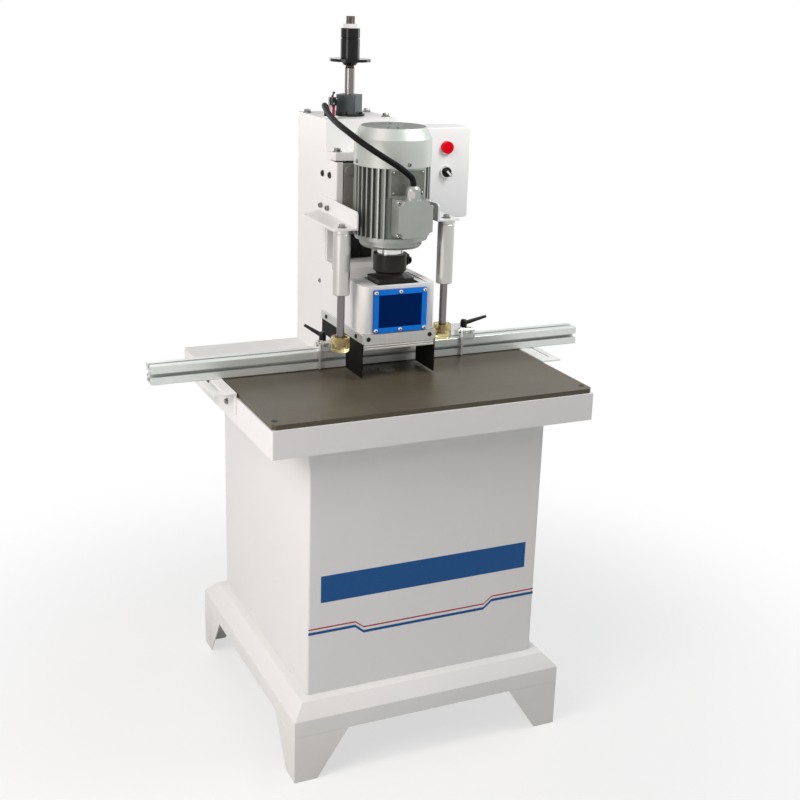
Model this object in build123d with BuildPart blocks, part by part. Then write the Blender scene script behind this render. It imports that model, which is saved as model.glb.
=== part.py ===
from build123d import *
import os
from math import atan2, cos, degrees, hypot, pi, radians, sin, tan

# A hinge boring machine: a floor cabinet with a table and fence, a column that carries an upright
# motor with a three-spindle boring head, two air clamps, a dust box and a control box.
# Millimetres, +Z up. The origin is on the floor under the middle of the machine. The operator
# stands on the -Y side, and the fence runs along X.
os.makedirs("parts", exist_ok=True)

# Datums: every height is counted from the table top, every depth from the drill axis
TABLE = 780
DRILL = -53

# Base and cabinet
SHEET = 2.5
PLINTH_X = 308
PLINTH_Y = (DRILL - 275, DRILL + 367)
FOOT_HEIGHT = 105
BAND_TOP = 141
CABINET_Z = 169
SHOULDER_INSET = 26
FOOT_WIDTH = (50, 119)
CABINET_X = 263
CABINET_Y = (DRILL - 227, DRILL + 331)
APRON_X = 353
APRON_Y = (DRILL - 268, DRILL + 337)
APRON_HEIGHT = 58
PANEL_X = 350
PANEL_Y = (DRILL - 265, DRILL + 95)
PANEL_THICK = 10

# Fence and its stops
FENCE_LENGTH = 1000
PROFILE = 40
FENCE_Y = DRILL + 45
FENCE_Z = TABLE + 1
SLOT_MOUTH = 8.2
STOP_X = {"left": -127, "right": 212}
LEVER_TURN = {"left": 112, "right": 0}
PIN_Y = FENCE_Y + 3
PIN_Z = FENCE_Z + PROFILE + 15
PIN_RADIUS = 5.5

# Column and feed
COLUMN_X = 80.5
COLUMN_BACK = DRILL + 341
COLUMN_FRONT = DRILL + 166
CHEEK_FRONT = DRILL + 110
LOWER_FRONT = DRILL + 122
COLUMN_TOP = TABLE + 511
CHEEK_Z = (TABLE + 279, TABLE + 428)
NOTCH_Z = TABLE + 210
SHELF_Z = (CHEEK_Z[1], TABLE + 445)
SHELF_FRONT = DRILL + 130
ROD_Y = DRILL + 237
ROD_RADIUS = 11
STUD_RADIUS = 10
RAIL_X = 50
RUNNING_FIT = 0.05
STOP_DISC_Z = TABLE + 625

# Boring head: centre cutter and two dowel drills behind a 45 / 9.5 hinge pattern
DOWEL_X = 22.5
DOWEL_Y = -9.5
TEETH = 24
GEAR_CENTRES = hypot(DOWEL_X, DOWEL_Y)
CUP_RADIUS = 17.5
DOWEL_RADIUS = 4
BIT_TIP = TABLE + 66
GEAR_Z = (TABLE + 173, TABLE + 189)
HEAD_X = 40
HEAD_Y = (DRILL - 38, DRILL + 28)
HEAD_Z = (TABLE + 150, TABLE + 206)
COLLAR_RADIUS = 35
COLLAR_Z = (TABLE + 219, TABLE + 254)
NECK_RADIUS = 28.5
EAR_TURN = 29

# Motor
SHAFT_RADIUS = 12
FRAME_RADIUS = 70
FIN_RADIUS = 78
FIN_COUNT = 36
FLANGE_RADIUS = 75
COWL_RADIUS = 79.5
COWL_FLAT = 65.5
COWL_SHOULDER = TABLE + 492.5
COWL_TOP = TABLE + 515
BELL_RADIUS = 65
BELL_Z = (TABLE + 271, TABLE + 287)
FRAME_TOP = TABLE + 438
NOSE_RADIUS = 28

# Clamps
CLAMP_X = 117.5
CLAMP_Y = DRILL - 21
CLAMP_LIFT = {"left": 0, "right": 9}
BRACKET_Z = TABLE + 312
BRACKET_SHEET = 4
BRACKET_X = (93, 140)
CLAMP_BOTTOM = TABLE + 177.5
CLAMP_RADIUS = 17.5
CLAMP_BORE = 14
CLAMP_ROD = 8
FOOT_RADIUS = 19.5
CLAMP_FOOT = (TABLE + 58, TABLE + 88)

# Dust box
BOX_X = 82
BOX_Y = (DRILL - 55, LOWER_FRONT)
BOX_Z = (TABLE + 97, TABLE + 198)
DUCT_Z = TABLE + 147
DUCT_RADIUS = 37.5
DUCT_ROOM = 3
FRAME_BAR_Z = (TABLE + 78, BOX_Z[0])

# Control box on the column's right side
CONTROL_X = (COLUMN_X, 279)
CONTROL_Y = (DRILL + 195, DRILL + 265)
CONTROL_Z = (TABLE + 283, TABLE + 485)
DEVICE_X = 220
LAMP_Z = TABLE + 442
SELECTOR_Z = TABLE + 387

# Motor cable, by hand from the gland over the motor's shoulder to the column top
GLAND = (0, DRILL - 103)
GROMMET = (-66, DRILL + 200)
CABLE_RADIUS = 6
CABLE_ROUTE = (
    (*GLAND, TABLE + 408),
    (*GLAND, TABLE + 420),
    (-11, DRILL - 105.5, TABLE + 430),
    (-33, DRILL - 110, TABLE + 446),
    (-76, DRILL - 110, TABLE + 471),
    (-104, DRILL - 85, TABLE + 492),
    (-114, DRILL - 35, TABLE + 508),
    (-113, DRILL + 25, TABLE + 518),
    (-105, DRILL + 85, TABLE + 527),
    (-91, DRILL + 145, TABLE + 535),
    (-79, DRILL + 185, TABLE + 540),
    (*GROMMET, TABLE + 531),
    (*GROMMET, TABLE + 514),
)

pieces = {}


def span(x, y, z, mode=Mode.ADD):
    """A block between pairs of limits."""
    with Locations(((x[0] + x[1]) / 2, (y[0] + y[1]) / 2, (z[0] + z[1]) / 2)):
        Box(x[1] - x[0], y[1] - y[0], z[1] - z[0], mode=mode)


def post(x, y, z, radius, mode=Mode.ADD):
    """An upright round bar between two heights."""
    with Locations((x, y, (z[0] + z[1]) / 2)):
        Cylinder(radius, z[1] - z[0], mode=mode)


def plate(plane, points, thickness, mode=Mode.ADD):
    """A flat plate with a straight-sided outline, thickened along the plane's normal."""
    with BuildSketch(plane) as outline:
        with BuildLine():
            Polyline(*points, close=True)
        make_face()
    extrude(outline.sketch, amount=thickness, mode=mode)


def turned(x, y, points, mode=Mode.ADD):
    """A turned piece about an upright axis, from (radius, height) points."""
    with BuildSketch(Plane.XZ.offset(-y)) as half:
        with BuildLine():
            Polyline(*[(x + radius, height) for radius, height in points], close=True)
        make_face()
    revolve(half.sketch, axis=Axis((x, y, 0), (0, 0, 1)), mode=mode)


def keep(name, piece):
    """Files a finished piece under its node name."""
    pieces[name] = piece


# Plinth: an upright band with a sloping shoulder up to the cabinet, open underneath
def plinth_form(inset, mode):
    middle = (0, (PLINTH_Y[0] + PLINTH_Y[1]) / 2)
    width, depth = 2 * PLINTH_X, PLINTH_Y[1] - PLINTH_Y[0]
    levels = (
        (FOOT_HEIGHT, inset),
        (BAND_TOP - 0.4 * inset, inset),
        (CABINET_Z - inset, SHOULDER_INSET + 0.5 * inset),
    )
    faces = []
    for height, draw_in in levels:
        with BuildSketch(Plane.XY.offset(height)) as section:
            with Locations(middle):
                Rectangle(width - 2 * draw_in, depth - 2 * draw_in)
        faces.append(section.sketch.face())
    loft(faces, ruled=True, mode=mode)


with BuildPart() as base_plinth:
    plinth_form(0, Mode.ADD)
    plinth_form(SHEET, Mode.SUBTRACT)
keep("base_plinth", base_plinth)

with BuildPart() as corner_feet:
    for side in (-1, 1):
        for edge, inward in ((PLINTH_Y[0], 1), (PLINTH_Y[1], -1)):
            low, high = FOOT_WIDTH
            across = [
                (side * PLINTH_X, 0),
                (side * (PLINTH_X - low), 0),
                (side * (PLINTH_X - high), FOOT_HEIGHT),
                (side * PLINTH_X, FOOT_HEIGHT),
            ]
            plate(Plane.XZ.offset(-edge), across, -SHEET * inward)
            along = [
                (edge, 0),
                (edge + inward * low, 0),
                (edge + inward * high, FOOT_HEIGHT),
                (edge, FOOT_HEIGHT),
            ]
            plate(Plane.YZ.offset(side * PLINTH_X), along, -SHEET * side)
keep("corner_feet", corner_feet)

# Cabinet: a folded sleeve between plinth and apron, with an access opening at the back
CABINET_TOP = TABLE - PANEL_THICK - APRON_HEIGHT
CABINET_MIDDLE = (0, (CABINET_Y[0] + CABINET_Y[1]) / 2)
CABINET_DEPTH = CABINET_Y[1] - CABINET_Y[0]
ACCESS_X = 190
ACCESS_Z = (CABINET_Z + 70, CABINET_TOP - 70)
with BuildPart() as cabinet_shell:
    with BuildSketch(Plane.XY.offset(CABINET_Z)):
        with Locations(CABINET_MIDDLE):
            RectangleRounded(2 * CABINET_X, CABINET_DEPTH, 5)
            width, depth = 2 * (CABINET_X - SHEET), CABINET_DEPTH - 2 * SHEET
            RectangleRounded(width, depth, 5 - SHEET, mode=Mode.SUBTRACT)
    extrude(amount=CABINET_TOP - CABINET_Z)
    back = (CABINET_Y[1] - 2 * SHEET, CABINET_Y[1] + SHEET)
    span((-ACCESS_X, ACCESS_X), back, ACCESS_Z, Mode.SUBTRACT)
keep("cabinet_shell", cabinet_shell)

PANEL_LAP = 16
with BuildPart() as rear_panel:
    with BuildSketch(Plane.XZ.offset(-CABINET_Y[1])):
        with Locations((0, (ACCESS_Z[0] + ACCESS_Z[1]) / 2)):
            RectangleRounded(2 * (ACCESS_X + PANEL_LAP), ACCESS_Z[1] - ACCESS_Z[0] + 2 * PANEL_LAP, 8)
    extrude(amount=-SHEET)
keep("rear_panel", rear_panel)

# Table: a folded apron box with the work panel on its deck
with BuildPart() as table_apron:
    apron_middle = (0, (APRON_Y[0] + APRON_Y[1]) / 2)
    apron_depth = APRON_Y[1] - APRON_Y[0]
    with BuildSketch(Plane.XY.offset(CABINET_TOP)):
        with Locations(apron_middle):
            RectangleRounded(2 * APRON_X, apron_depth, 4)
    extrude(amount=APRON_HEIGHT)
    with BuildSketch(Plane.XY.offset(CABINET_TOP + SHEET)):
        with Locations(apron_middle):
            Rectangle(2 * (APRON_X - SHEET), apron_depth - 2 * SHEET)
    extrude(amount=APRON_HEIGHT - 2 * SHEET, mode=Mode.SUBTRACT)
    clear = 25
    well = (CABINET_Y[0] + clear, CABINET_Y[1] - clear)
    wide = (clear - CABINET_X, CABINET_X - clear)
    span(wide, well, (CABINET_TOP - 1, CABINET_TOP + 2 * SHEET), Mode.SUBTRACT)
keep("table_apron", table_apron)

DISC_RADIUS = 17.5
DISC_DEPTH = 6
with BuildPart() as table_top:
    span((-PANEL_X, PANEL_X), PANEL_Y, (TABLE - PANEL_THICK, TABLE))
    front_corners = table_top.edges().filter_by(Axis.Z).group_by(Axis.Y)[0]
    chamfer(front_corners, 7)
    post(0, DRILL, (TABLE - DISC_DEPTH, TABLE + 1), DISC_RADIUS, Mode.SUBTRACT)
keep("table_top", table_top)

with BuildPart() as backing_disc:
    post(0, DRILL, (TABLE - DISC_DEPTH, TABLE), DISC_RADIUS)
keep("backing_disc", backing_disc)

# Fence: slotted aluminium extrusion on two slotted angle brackets
BRACKET_REACH = 47
BRACKET_Y = (DRILL - 56, DRILL + 100)
FENCE_SLOT_Y = (DRILL - 30, DRILL + 90)
for name, side in (("left", -1), ("right", 1)):
    with BuildPart() as fence_bracket:
        angle = [
            (side * APRON_X, TABLE - 43),
            (side * (APRON_X + 4), TABLE - 43),
            (side * (APRON_X + 4), FENCE_Z - 4),
            (side * (APRON_X + BRACKET_REACH), FENCE_Z - 4),
            (side * (APRON_X + BRACKET_REACH), FENCE_Z),
            (side * APRON_X, FENCE_Z),
        ]
        plate(Plane.XZ.offset(-BRACKET_Y[0]), angle, BRACKET_Y[0] - BRACKET_Y[1])
        with BuildSketch(Plane.XY.offset(FENCE_Z - 5)):
            with Locations((side * (APRON_X + 29), (FENCE_SLOT_Y[0] + FENCE_SLOT_Y[1]) / 2)):
                SlotOverall(FENCE_SLOT_Y[1] - FENCE_SLOT_Y[0], 9, rotation=90)
        extrude(amount=6, mode=Mode.SUBTRACT)
    keep(f"fence_bracket_{name}", fence_bracket)

with BuildPart() as fence_profile:
    with BuildSketch(Plane.YZ.offset(-FENCE_LENGTH / 2)) as section:
        middle = (FENCE_Y + PROFILE / 2, FENCE_Z + PROFILE / 2)
        with Locations(middle):
            RectangleRounded(PROFILE, PROFILE, 2)
            Circle(3.4, mode=Mode.SUBTRACT)
        for turn in range(4):
            direction = Location(middle, 90 * turn)
            with Locations(direction * Location((PROFILE / 2 - 3, 0))):
                Rectangle(6.1, SLOT_MOUTH, mode=Mode.SUBTRACT)
            with Locations(direction * Location((PROFILE / 2 - 8.5, 0))):
                Trapezoid(20, 8, 53, align=(Align.CENTER, Align.CENTER), rotation=90, mode=Mode.SUBTRACT)
            with Locations(direction * Location((PROFILE / 2 - 5, PROFILE / 2 - 5))):
                Rectangle(5, 5, mode=Mode.SUBTRACT)
    extrude(amount=FENCE_LENGTH)
keep("fence_profile", fence_profile)

# Flip stops: a foot clamped in the fence's top slot, a finger that swings on a pin, a clamp lever
for name, middle_x in STOP_X.items():
    fence_top = FENCE_Z + PROFILE
    foot_top = fence_top + 9
    with BuildPart() as stop_base:
        foot_x = (middle_x - 9, middle_x + 20)
        span(foot_x, (FENCE_Y - 4, FENCE_Y + PROFILE), (fence_top + 0.2, foot_top))
        tongue = (FENCE_Y + PROFILE / 2 - 3.8, FENCE_Y + PROFILE / 2 + 3.8)
        span(foot_x, tongue, (fence_top - 4, fence_top + 1))
        for lug_x in (middle_x - 8, middle_x + 11):
            span((lug_x, lug_x + 5), (PIN_Y - 7, PIN_Y + 7), (foot_top, PIN_Z))
            with Locations(Location((lug_x + 2.5, PIN_Y, PIN_Z), (0, 90, 0))):
                Cylinder(7, 5)
        with Locations(Location((middle_x + 4, PIN_Y, PIN_Z), (0, 90, 0))):
            Cylinder(PIN_RADIUS + RUNNING_FIT, 40, mode=Mode.SUBTRACT)
    keep(f"stop_base_{name}", stop_base)

    with BuildPart() as stop_finger:
        with Locations(Location((middle_x, PIN_Y, PIN_Z), (0, 90, 0))):
            Cylinder(PIN_RADIUS, 38)
        with BuildSketch(Plane.YZ.offset(middle_x - 16)) as outline:
            with Locations((PIN_Y, PIN_Z)):
                Circle(9)
            with BuildLine():
                Polyline(
                    (PIN_Y - 9, PIN_Z),
                    (FENCE_Y - 7, PIN_Z - 12),
                    (FENCE_Y - 9, TABLE + 3),
                    (FENCE_Y - 2, TABLE + 3),
                    (FENCE_Y - 1.5, PIN_Z - 12),
                    (PIN_Y + 6, PIN_Z),
                    close=True,
                )
            make_face()
        extrude(amount=5)
    keep(f"stop_finger_{name}", stop_finger)

    hub = (middle_x + 5, FENCE_Y + 24)
    with BuildPart() as stop_lever:
        turned(*hub, [
            (0, foot_top),
            (6, foot_top),
            (7.5, foot_top + 4),
            (7.5, foot_top + 22),
            (5, foot_top + 26),
            (0, foot_top + 26),
        ])
        heading = radians(LEVER_TURN[name])
        rise = radians(12)
        direction = (cos(heading) * cos(rise), sin(heading) * cos(rise), sin(rise))
        root_plane = Plane(origin=(*hub, foot_top + 17), z_dir=direction)
        with Locations(root_plane):
            Cone(5, 3.2, 57, align=(Align.CENTER, Align.CENTER, Align.MIN))
    keep(f"stop_lever_{name}", stop_lever)

# Column: folded sheet with forward cheeks, a closed lower front, strips for the rails and a
# folded shelf over the carriage
SHELF_X = 72
with BuildPart() as column_shell:
    floor = TABLE - PANEL_THICK
    with BuildSketch(Plane.XY.offset(floor)):
        with Locations((0, (CHEEK_FRONT + COLUMN_BACK) / 2)):
            depth = COLUMN_BACK - CHEEK_FRONT
            RectangleRounded(2 * COLUMN_X, depth, 5)
            RectangleRounded(2 * (COLUMN_X - SHEET), depth - 2 * SHEET, 5 - SHEET, mode=Mode.SUBTRACT)
    extrude(amount=COLUMN_TOP - floor)
    ahead = CHEEK_FRONT - 1
    wide = (-COLUMN_X - 1, COLUMN_X + 1)
    span((-64, 64), (ahead, CHEEK_FRONT + 6), (floor - 1, COLUMN_TOP + 1), Mode.SUBTRACT)
    span(wide, (ahead, COLUMN_FRONT), (CHEEK_Z[1], COLUMN_TOP + 1), Mode.SUBTRACT)
    span(wide, (ahead, COLUMN_FRONT), (NOTCH_Z, CHEEK_Z[0]), Mode.SUBTRACT)
    span(wide, (ahead, LOWER_FRONT), (floor - 1, NOTCH_Z), Mode.SUBTRACT)
    inner = (SHEET - COLUMN_X, COLUMN_X - SHEET)
    span(inner, (LOWER_FRONT, LOWER_FRONT + SHEET), (floor, NOTCH_Z))
    span(inner, (LOWER_FRONT, COLUMN_FRONT), (NOTCH_Z - SHEET, NOTCH_Z))
    span(inner, (COLUMN_FRONT, COLUMN_FRONT + SHEET), (SHELF_Z[1] - SHEET, COLUMN_TOP))
    span(inner, (COLUMN_FRONT, COLUMN_BACK - SHEET), (COLUMN_TOP - SHEET, COLUMN_TOP))
    strip_front = COLUMN_FRONT - 6
    for side in (-1, 1):
        strip = sorted((side * 30, side * (COLUMN_X - SHEET)))
        span(strip, (strip_front, COLUMN_FRONT + 0.5), (NOTCH_Z - SHEET, SHELF_Z[1] - SHEET))
    shelf = [
        (-COLUMN_X, COLUMN_FRONT + 1),
        (-COLUMN_X, strip_front),
        (-SHELF_X, SHELF_FRONT),
        (SHELF_X, SHELF_FRONT),
        (COLUMN_X, strip_front),
        (COLUMN_X, COLUMN_FRONT + 1),
    ]
    plate(Plane.XY.offset(SHELF_Z[0]), shelf, SHELF_Z[1] - SHELF_Z[0])
    under_shelf = [
        (SHEET - COLUMN_X, strip_front),
        (SHEET - SHELF_X, SHELF_FRONT + SHEET),
        (SHELF_X - SHEET, SHELF_FRONT + SHEET),
        (COLUMN_X - SHEET, strip_front),
    ]
    plate(Plane.XY.offset(SHELF_Z[0]), under_shelf, SHELF_Z[1] - SHELF_Z[0] - SHEET, Mode.SUBTRACT)
    span(inner, (COLUMN_FRONT - 7, COLUMN_FRONT + SHEET), (SHELF_Z[1] - SHEET, SHELF_Z[1]))
    post(0, ROD_Y, (COLUMN_TOP - 5, COLUMN_TOP + 1), 13, Mode.SUBTRACT)
    post(*GROMMET, (COLUMN_TOP - 5, COLUMN_TOP + 1), 8, Mode.SUBTRACT)
    cut = DUCT_RADIUS + DUCT_ROOM
    span((-cut, cut), (LOWER_FRONT - 2, COLUMN_BACK + 2), (DUCT_Z - cut, DUCT_Z + cut), Mode.SUBTRACT)
keep("column_shell", column_shell)

# Feed: two rails, a double-ended air cylinder and the stop block on the column top
RAIL_Y = (DRILL + 145, COLUMN_FRONT - 6)
with BuildPart() as guide_rails:
    with BuildSketch(Plane.XY.offset(NOTCH_Z)):
        for side in (-1, 1):
            with Locations((side * RAIL_X, (RAIL_Y[0] + RAIL_Y[1]) / 2)):
                Rectangle(15, RAIL_Y[1] - RAIL_Y[0])
            with Locations((side * RAIL_X - 7.5, RAIL_Y[0] + 6), (side * RAIL_X + 7.5, RAIL_Y[0] + 6)):
                Rectangle(4, 4, rotation=45, mode=Mode.SUBTRACT)
    extrude(amount=TABLE + 440 - NOTCH_Z)
keep("guide_rails", guide_rails)

CYLINDER_Z = (TABLE + 330, COLUMN_TOP - SHEET)
BORE_Z = (CYLINDER_Z[0] + 20, CYLINDER_Z[1] - 22)
BORE_RADIUS = 25
CAP_SIDE = 70
BARREL_SIDE = 62
with BuildPart() as feed_cylinder:
    for side, low, high in (
        (CAP_SIDE, CYLINDER_Z[0], BORE_Z[0]),
        (BARREL_SIDE, *BORE_Z),
        (CAP_SIDE, BORE_Z[1], CYLINDER_Z[1]),
    ):
        span((-side / 2, side / 2), (ROD_Y - side / 2, ROD_Y + side / 2), (low, high))
    post(0, ROD_Y, BORE_Z, BORE_RADIUS, Mode.SUBTRACT)
    post(0, ROD_Y, (CYLINDER_Z[0] - 1, CYLINDER_Z[1] + 1), ROD_RADIUS + RUNNING_FIT, Mode.SUBTRACT)
keep("feed_cylinder", feed_cylinder)

BLOCK_Z = (COLUMN_TOP + 4, TABLE + 556)
with BuildPart() as top_flange:
    post(0, ROD_Y, (COLUMN_TOP, BLOCK_Z[0]), 34)
    post(0, ROD_Y, (COLUMN_TOP - 1, BLOCK_Z[0] + 1), 13, Mode.SUBTRACT)
keep("top_flange", top_flange)

with BuildPart() as top_block:
    with BuildSketch(Plane.XY.offset(BLOCK_Z[0])):
        with Locations(Location((0, ROD_Y), 45)):
            RectangleRounded(45, 45, 4)
        with Locations((0, ROD_Y)):
            Circle(ROD_RADIUS + RUNNING_FIT, mode=Mode.SUBTRACT)
    extrude(amount=BLOCK_Z[1] - BLOCK_Z[0])
keep("top_block", top_block)

STUD_Z = (TABLE + 612, TABLE + 720)
ARM_Z = (TABLE + 285, TABLE + 305)
with BuildPart() as feed_rod:
    post(0, ROD_Y, (ARM_Z[0], STUD_Z[0]), ROD_RADIUS)
    post(0, ROD_Y, STUD_Z, STUD_RADIUS)
    post(0, ROD_Y, (TABLE + 462, TABLE + 478), BORE_RADIUS - RUNNING_FIT)
    chamfer(feed_rod.edges().sort_by(Axis.Z)[-1:], 1.5)
keep("feed_rod", feed_rod)

SLEEVE_TOP = TABLE + 694
GROOVE_Z = TABLE + 673
with BuildPart() as depth_stop:
    inner = STUD_RADIUS + RUNNING_FIT
    turned(0, ROD_Y, [
        (inner, STOP_DISC_Z - 8),
        (13, STOP_DISC_Z - 8),
        (20, STOP_DISC_Z),
        (45, STOP_DISC_Z),
        (45, STOP_DISC_Z + 6),
        (21, STOP_DISC_Z + 6),
        (21, GROOVE_Z - 2),
        (20, GROOVE_Z - 1),
        (20, GROOVE_Z + 1),
        (21, GROOVE_Z + 2),
        (21, SLEEVE_TOP - 1),
        (20, SLEEVE_TOP),
        (inner, SLEEVE_TOP),
    ])
keep("depth_stop", depth_stop)

with BuildPart() as lock_nut:
    with BuildSketch(Plane.XY.offset(SLEEVE_TOP)):
        with Locations((0, ROD_Y)):
            RegularPolygon(16.5, 6)
            Circle(STUD_RADIUS + RUNNING_FIT, mode=Mode.SUBTRACT)
    extrude(amount=9)
keep("lock_nut", lock_nut)

# Limit switch beside the stop block, on a folded bracket
SWITCH_X = (-52, -40)
SWITCH_Y = (DRILL + 205, DRILL + 221)
SWITCH_Z = (TABLE + 535, TABLE + 552)
with BuildPart() as switch_bracket:
    span((-55, -38), (SWITCH_Y[0], SWITCH_Y[1] + 2), (COLUMN_TOP, COLUMN_TOP + 2))
    span((-55, -38), (SWITCH_Y[1], SWITCH_Y[1] + 2), (COLUMN_TOP, SWITCH_Z[1]))
keep("switch_bracket", switch_bracket)

with BuildPart() as limit_switch:
    span(SWITCH_X, SWITCH_Y, SWITCH_Z)
    fillet(limit_switch.edges().filter_by(Axis.Y), 1.5)
keep("limit_switch", limit_switch)

SWITCH_PIVOT = (SWITCH_X[0] + 3, SWITCH_Z[1] + 2.5)
with BuildPart() as switch_lever:
    with BuildSketch(Plane.XZ.offset(-SWITCH_Y[0] - 5)):
        with Locations(SWITCH_PIVOT):
            Circle(2)
        with BuildLine():
            Polyline(
                (SWITCH_PIVOT[0] - 1, SWITCH_PIVOT[1]),
                (SWITCH_PIVOT[0] + 1, SWITCH_PIVOT[1]),
                (SWITCH_PIVOT[0] + 4, SWITCH_PIVOT[1] + 6),
                (SWITCH_PIVOT[0] + 2, SWITCH_PIVOT[1] + 7),
                close=True,
            )
        make_face()
        with Locations((SWITCH_PIVOT[0] + 3, SWITCH_PIVOT[1] + 7)):
            Circle(2.3)
    extrude(amount=-5)
keep("switch_lever", switch_lever)

with BuildPart() as cable_grommet:
    turned(*GROMMET, [
        (CABLE_RADIUS, COLUMN_TOP - SHEET - 2), (8, COLUMN_TOP - SHEET - 2), (8, COLUMN_TOP),
        (10, COLUMN_TOP), (9, COLUMN_TOP + 3), (CABLE_RADIUS, COLUMN_TOP + 3),
    ])
keep("cable_grommet", cable_grommet)

# Carriage: a thick plate on four bearing blocks, with an arm back to the feed rod
CARRIAGE_X = 62
CARRIAGE_Y = (DRILL + 108, DRILL + 126)
CARRIAGE_Z = (TABLE + 275, TABLE + 424)
with BuildPart() as carriage_plate:
    with BuildSketch(Plane.XZ.offset(-CARRIAGE_Y[0])):
        with Locations((0, (CARRIAGE_Z[0] + CARRIAGE_Z[1]) / 2)):
            RectangleRounded(2 * CARRIAGE_X, CARRIAGE_Z[1] - CARRIAGE_Z[0], 5)
    extrude(amount=CARRIAGE_Y[0] - CARRIAGE_Y[1])
    arm = [
        (CARRIAGE_Y[1], ARM_Z[0]), (ROD_Y + 24, ARM_Z[0]), (ROD_Y + 24, ARM_Z[1]),
        (ROD_Y - 24, ARM_Z[1]), (CARRIAGE_Y[1], ARM_Z[1] + 40),
    ]
    plate(Plane.YZ.offset(-20), arm, 40)
    post(0, ROD_Y, (ARM_Z[0] - 1, ARM_Z[1] + 1), ROD_RADIUS, Mode.SUBTRACT)
    for bolt_z in (TABLE + 300, TABLE + 412):
        for bolt_x in (-51, 51):
            with Locations(Location((bolt_x, CARRIAGE_Y[0] - 3.5, bolt_z), (90, 0, 0))):
                Cylinder(9, 7)
keep("carriage_plate", carriage_plate)

BEARING_Z = (TABLE + 320, TABLE + 395)
with BuildPart() as bearing_blocks:
    for side in (-1, 1):
        for middle_z in BEARING_Z:
            middle_x = side * RAIL_X
            block_x = (middle_x - 17, middle_x + 17)
            span(block_x, (CARRIAGE_Y[1], COLUMN_FRONT - 9), (middle_z - 29, middle_z + 29))
            groove_x = (middle_x - 7.9, middle_x + 7.9)
            groove_y = (RAIL_Y[0] - 0.4, RAIL_Y[1])
            span(groove_x, groove_y, (middle_z - 30, middle_z + 30), Mode.SUBTRACT)
keep("bearing_blocks", bearing_blocks)

# Motor: finned frame on a rear foot, fan cowl, end bell with a clamping nose, terminal box
COWL_SHEET = 2
with BuildPart() as motor_frame:
    flange_top = BELL_Z[1] + 9
    post(0, DRILL, (BELL_Z[1], FRAME_TOP), FRAME_RADIUS)
    post(0, DRILL, (BELL_Z[1], flange_top), FLANGE_RADIUS)
    post(0, DRILL, (FRAME_TOP - 1, FRAME_TOP + 8), COWL_RADIUS - COWL_SHEET)
    fin_z = (flange_top - 1, FRAME_TOP)
    for index in range(FIN_COUNT):
        turn = 360 / FIN_COUNT * (index + 0.5)
        from_front = abs((turn - 270 + 180) % 360 - 180)
        if 30 < from_front < 140:
            spot = Location((0, DRILL, (fin_z[0] + fin_z[1]) / 2), (0, 0, turn))
            with Locations(spot * Location(((FRAME_RADIUS + FIN_RADIUS) / 2 - 1, 0, 0))):
                Box(FIN_RADIUS - FRAME_RADIUS + 2, 3.2, fin_z[1] - fin_z[0])
    span((-38, 38), (DRILL - 76, DRILL - 50), (TABLE + 381, FRAME_TOP))
    span((-30, 30), (DRILL - 80, DRILL - 50), (TABLE + 310, TABLE + 381))
    span((-46, 46), (DRILL + 40, CARRIAGE_Y[0] - 12), (TABLE + 318, TABLE + 398))
    span((-36, 36), (CARRIAGE_Y[0] - 12, CARRIAGE_Y[0]), (TABLE + 318, TABLE + 398))
    post(0, DRILL, (BELL_Z[1] - 1, FRAME_TOP + 9), SHAFT_RADIUS + 0.5, Mode.SUBTRACT)
keep("motor_frame", motor_frame)

with BuildPart() as fan_cowl:
    outer = [
        (COWL_RADIUS, FRAME_TOP),
        (COWL_RADIUS, COWL_SHOULDER),
        (COWL_FLAT + 1.5, COWL_TOP - 1),
        (COWL_FLAT, COWL_TOP),
        (0, COWL_TOP),
    ]
    inner = [
        (0, COWL_TOP - COWL_SHEET),
        (COWL_FLAT - 1, COWL_TOP - COWL_SHEET),
        (COWL_RADIUS - COWL_SHEET, COWL_SHOULDER - 1),
        (COWL_RADIUS - COWL_SHEET, FRAME_TOP),
    ]
    turned(0, DRILL, outer + inner)
    with BuildSketch(Plane.XY.offset(COWL_TOP - 5)):
        with Locations((0, DRILL)):
            with PolarLocations(42, 14):
                SlotOverall(34, 6)
    extrude(amount=6, mode=Mode.SUBTRACT)
keep("fan_cowl", fan_cowl)

NOSE_SEAT = COLLAR_Z[1] - 14
with BuildPart() as end_bell:
    turned(0, DRILL, [
        (SHAFT_RADIUS + 0.5, NOSE_SEAT),
        (NOSE_RADIUS, NOSE_SEAT),
        (NOSE_RADIUS, BELL_Z[0]),
        (BELL_RADIUS - 4, BELL_Z[0]),
        (BELL_RADIUS, BELL_Z[0] + 5),
        (BELL_RADIUS, BELL_Z[1]),
        (SHAFT_RADIUS + 0.5, BELL_Z[1]),
    ])
keep("end_bell", end_bell)

TERMINAL_X = 37.5
TERMINAL_Z = (TABLE + 306, TABLE + 381)
TERMINAL_Y = (DRILL - 120, DRILL - 80)
with BuildPart() as terminal_box:
    behind_lid = (TERMINAL_Y[0] + 14, TERMINAL_Y[1])
    span((2 - TERMINAL_X, TERMINAL_X - 2), behind_lid, (TERMINAL_Z[0] + 2, TERMINAL_Z[1]))
    with BuildSketch(Plane.XZ.offset(-TERMINAL_Y[0])):
        with Locations((0, (TERMINAL_Z[0] + TERMINAL_Z[1]) / 2)):
            Rectangle(2 * TERMINAL_X, TERMINAL_Z[1] - TERMINAL_Z[0])
            with GridLocations(2 * TERMINAL_X, TERMINAL_Z[1] - TERMINAL_Z[0], 2, 2):
                Circle(11, mode=Mode.SUBTRACT)
    extrude(amount=-14)
keep("terminal_box", terminal_box)

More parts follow.
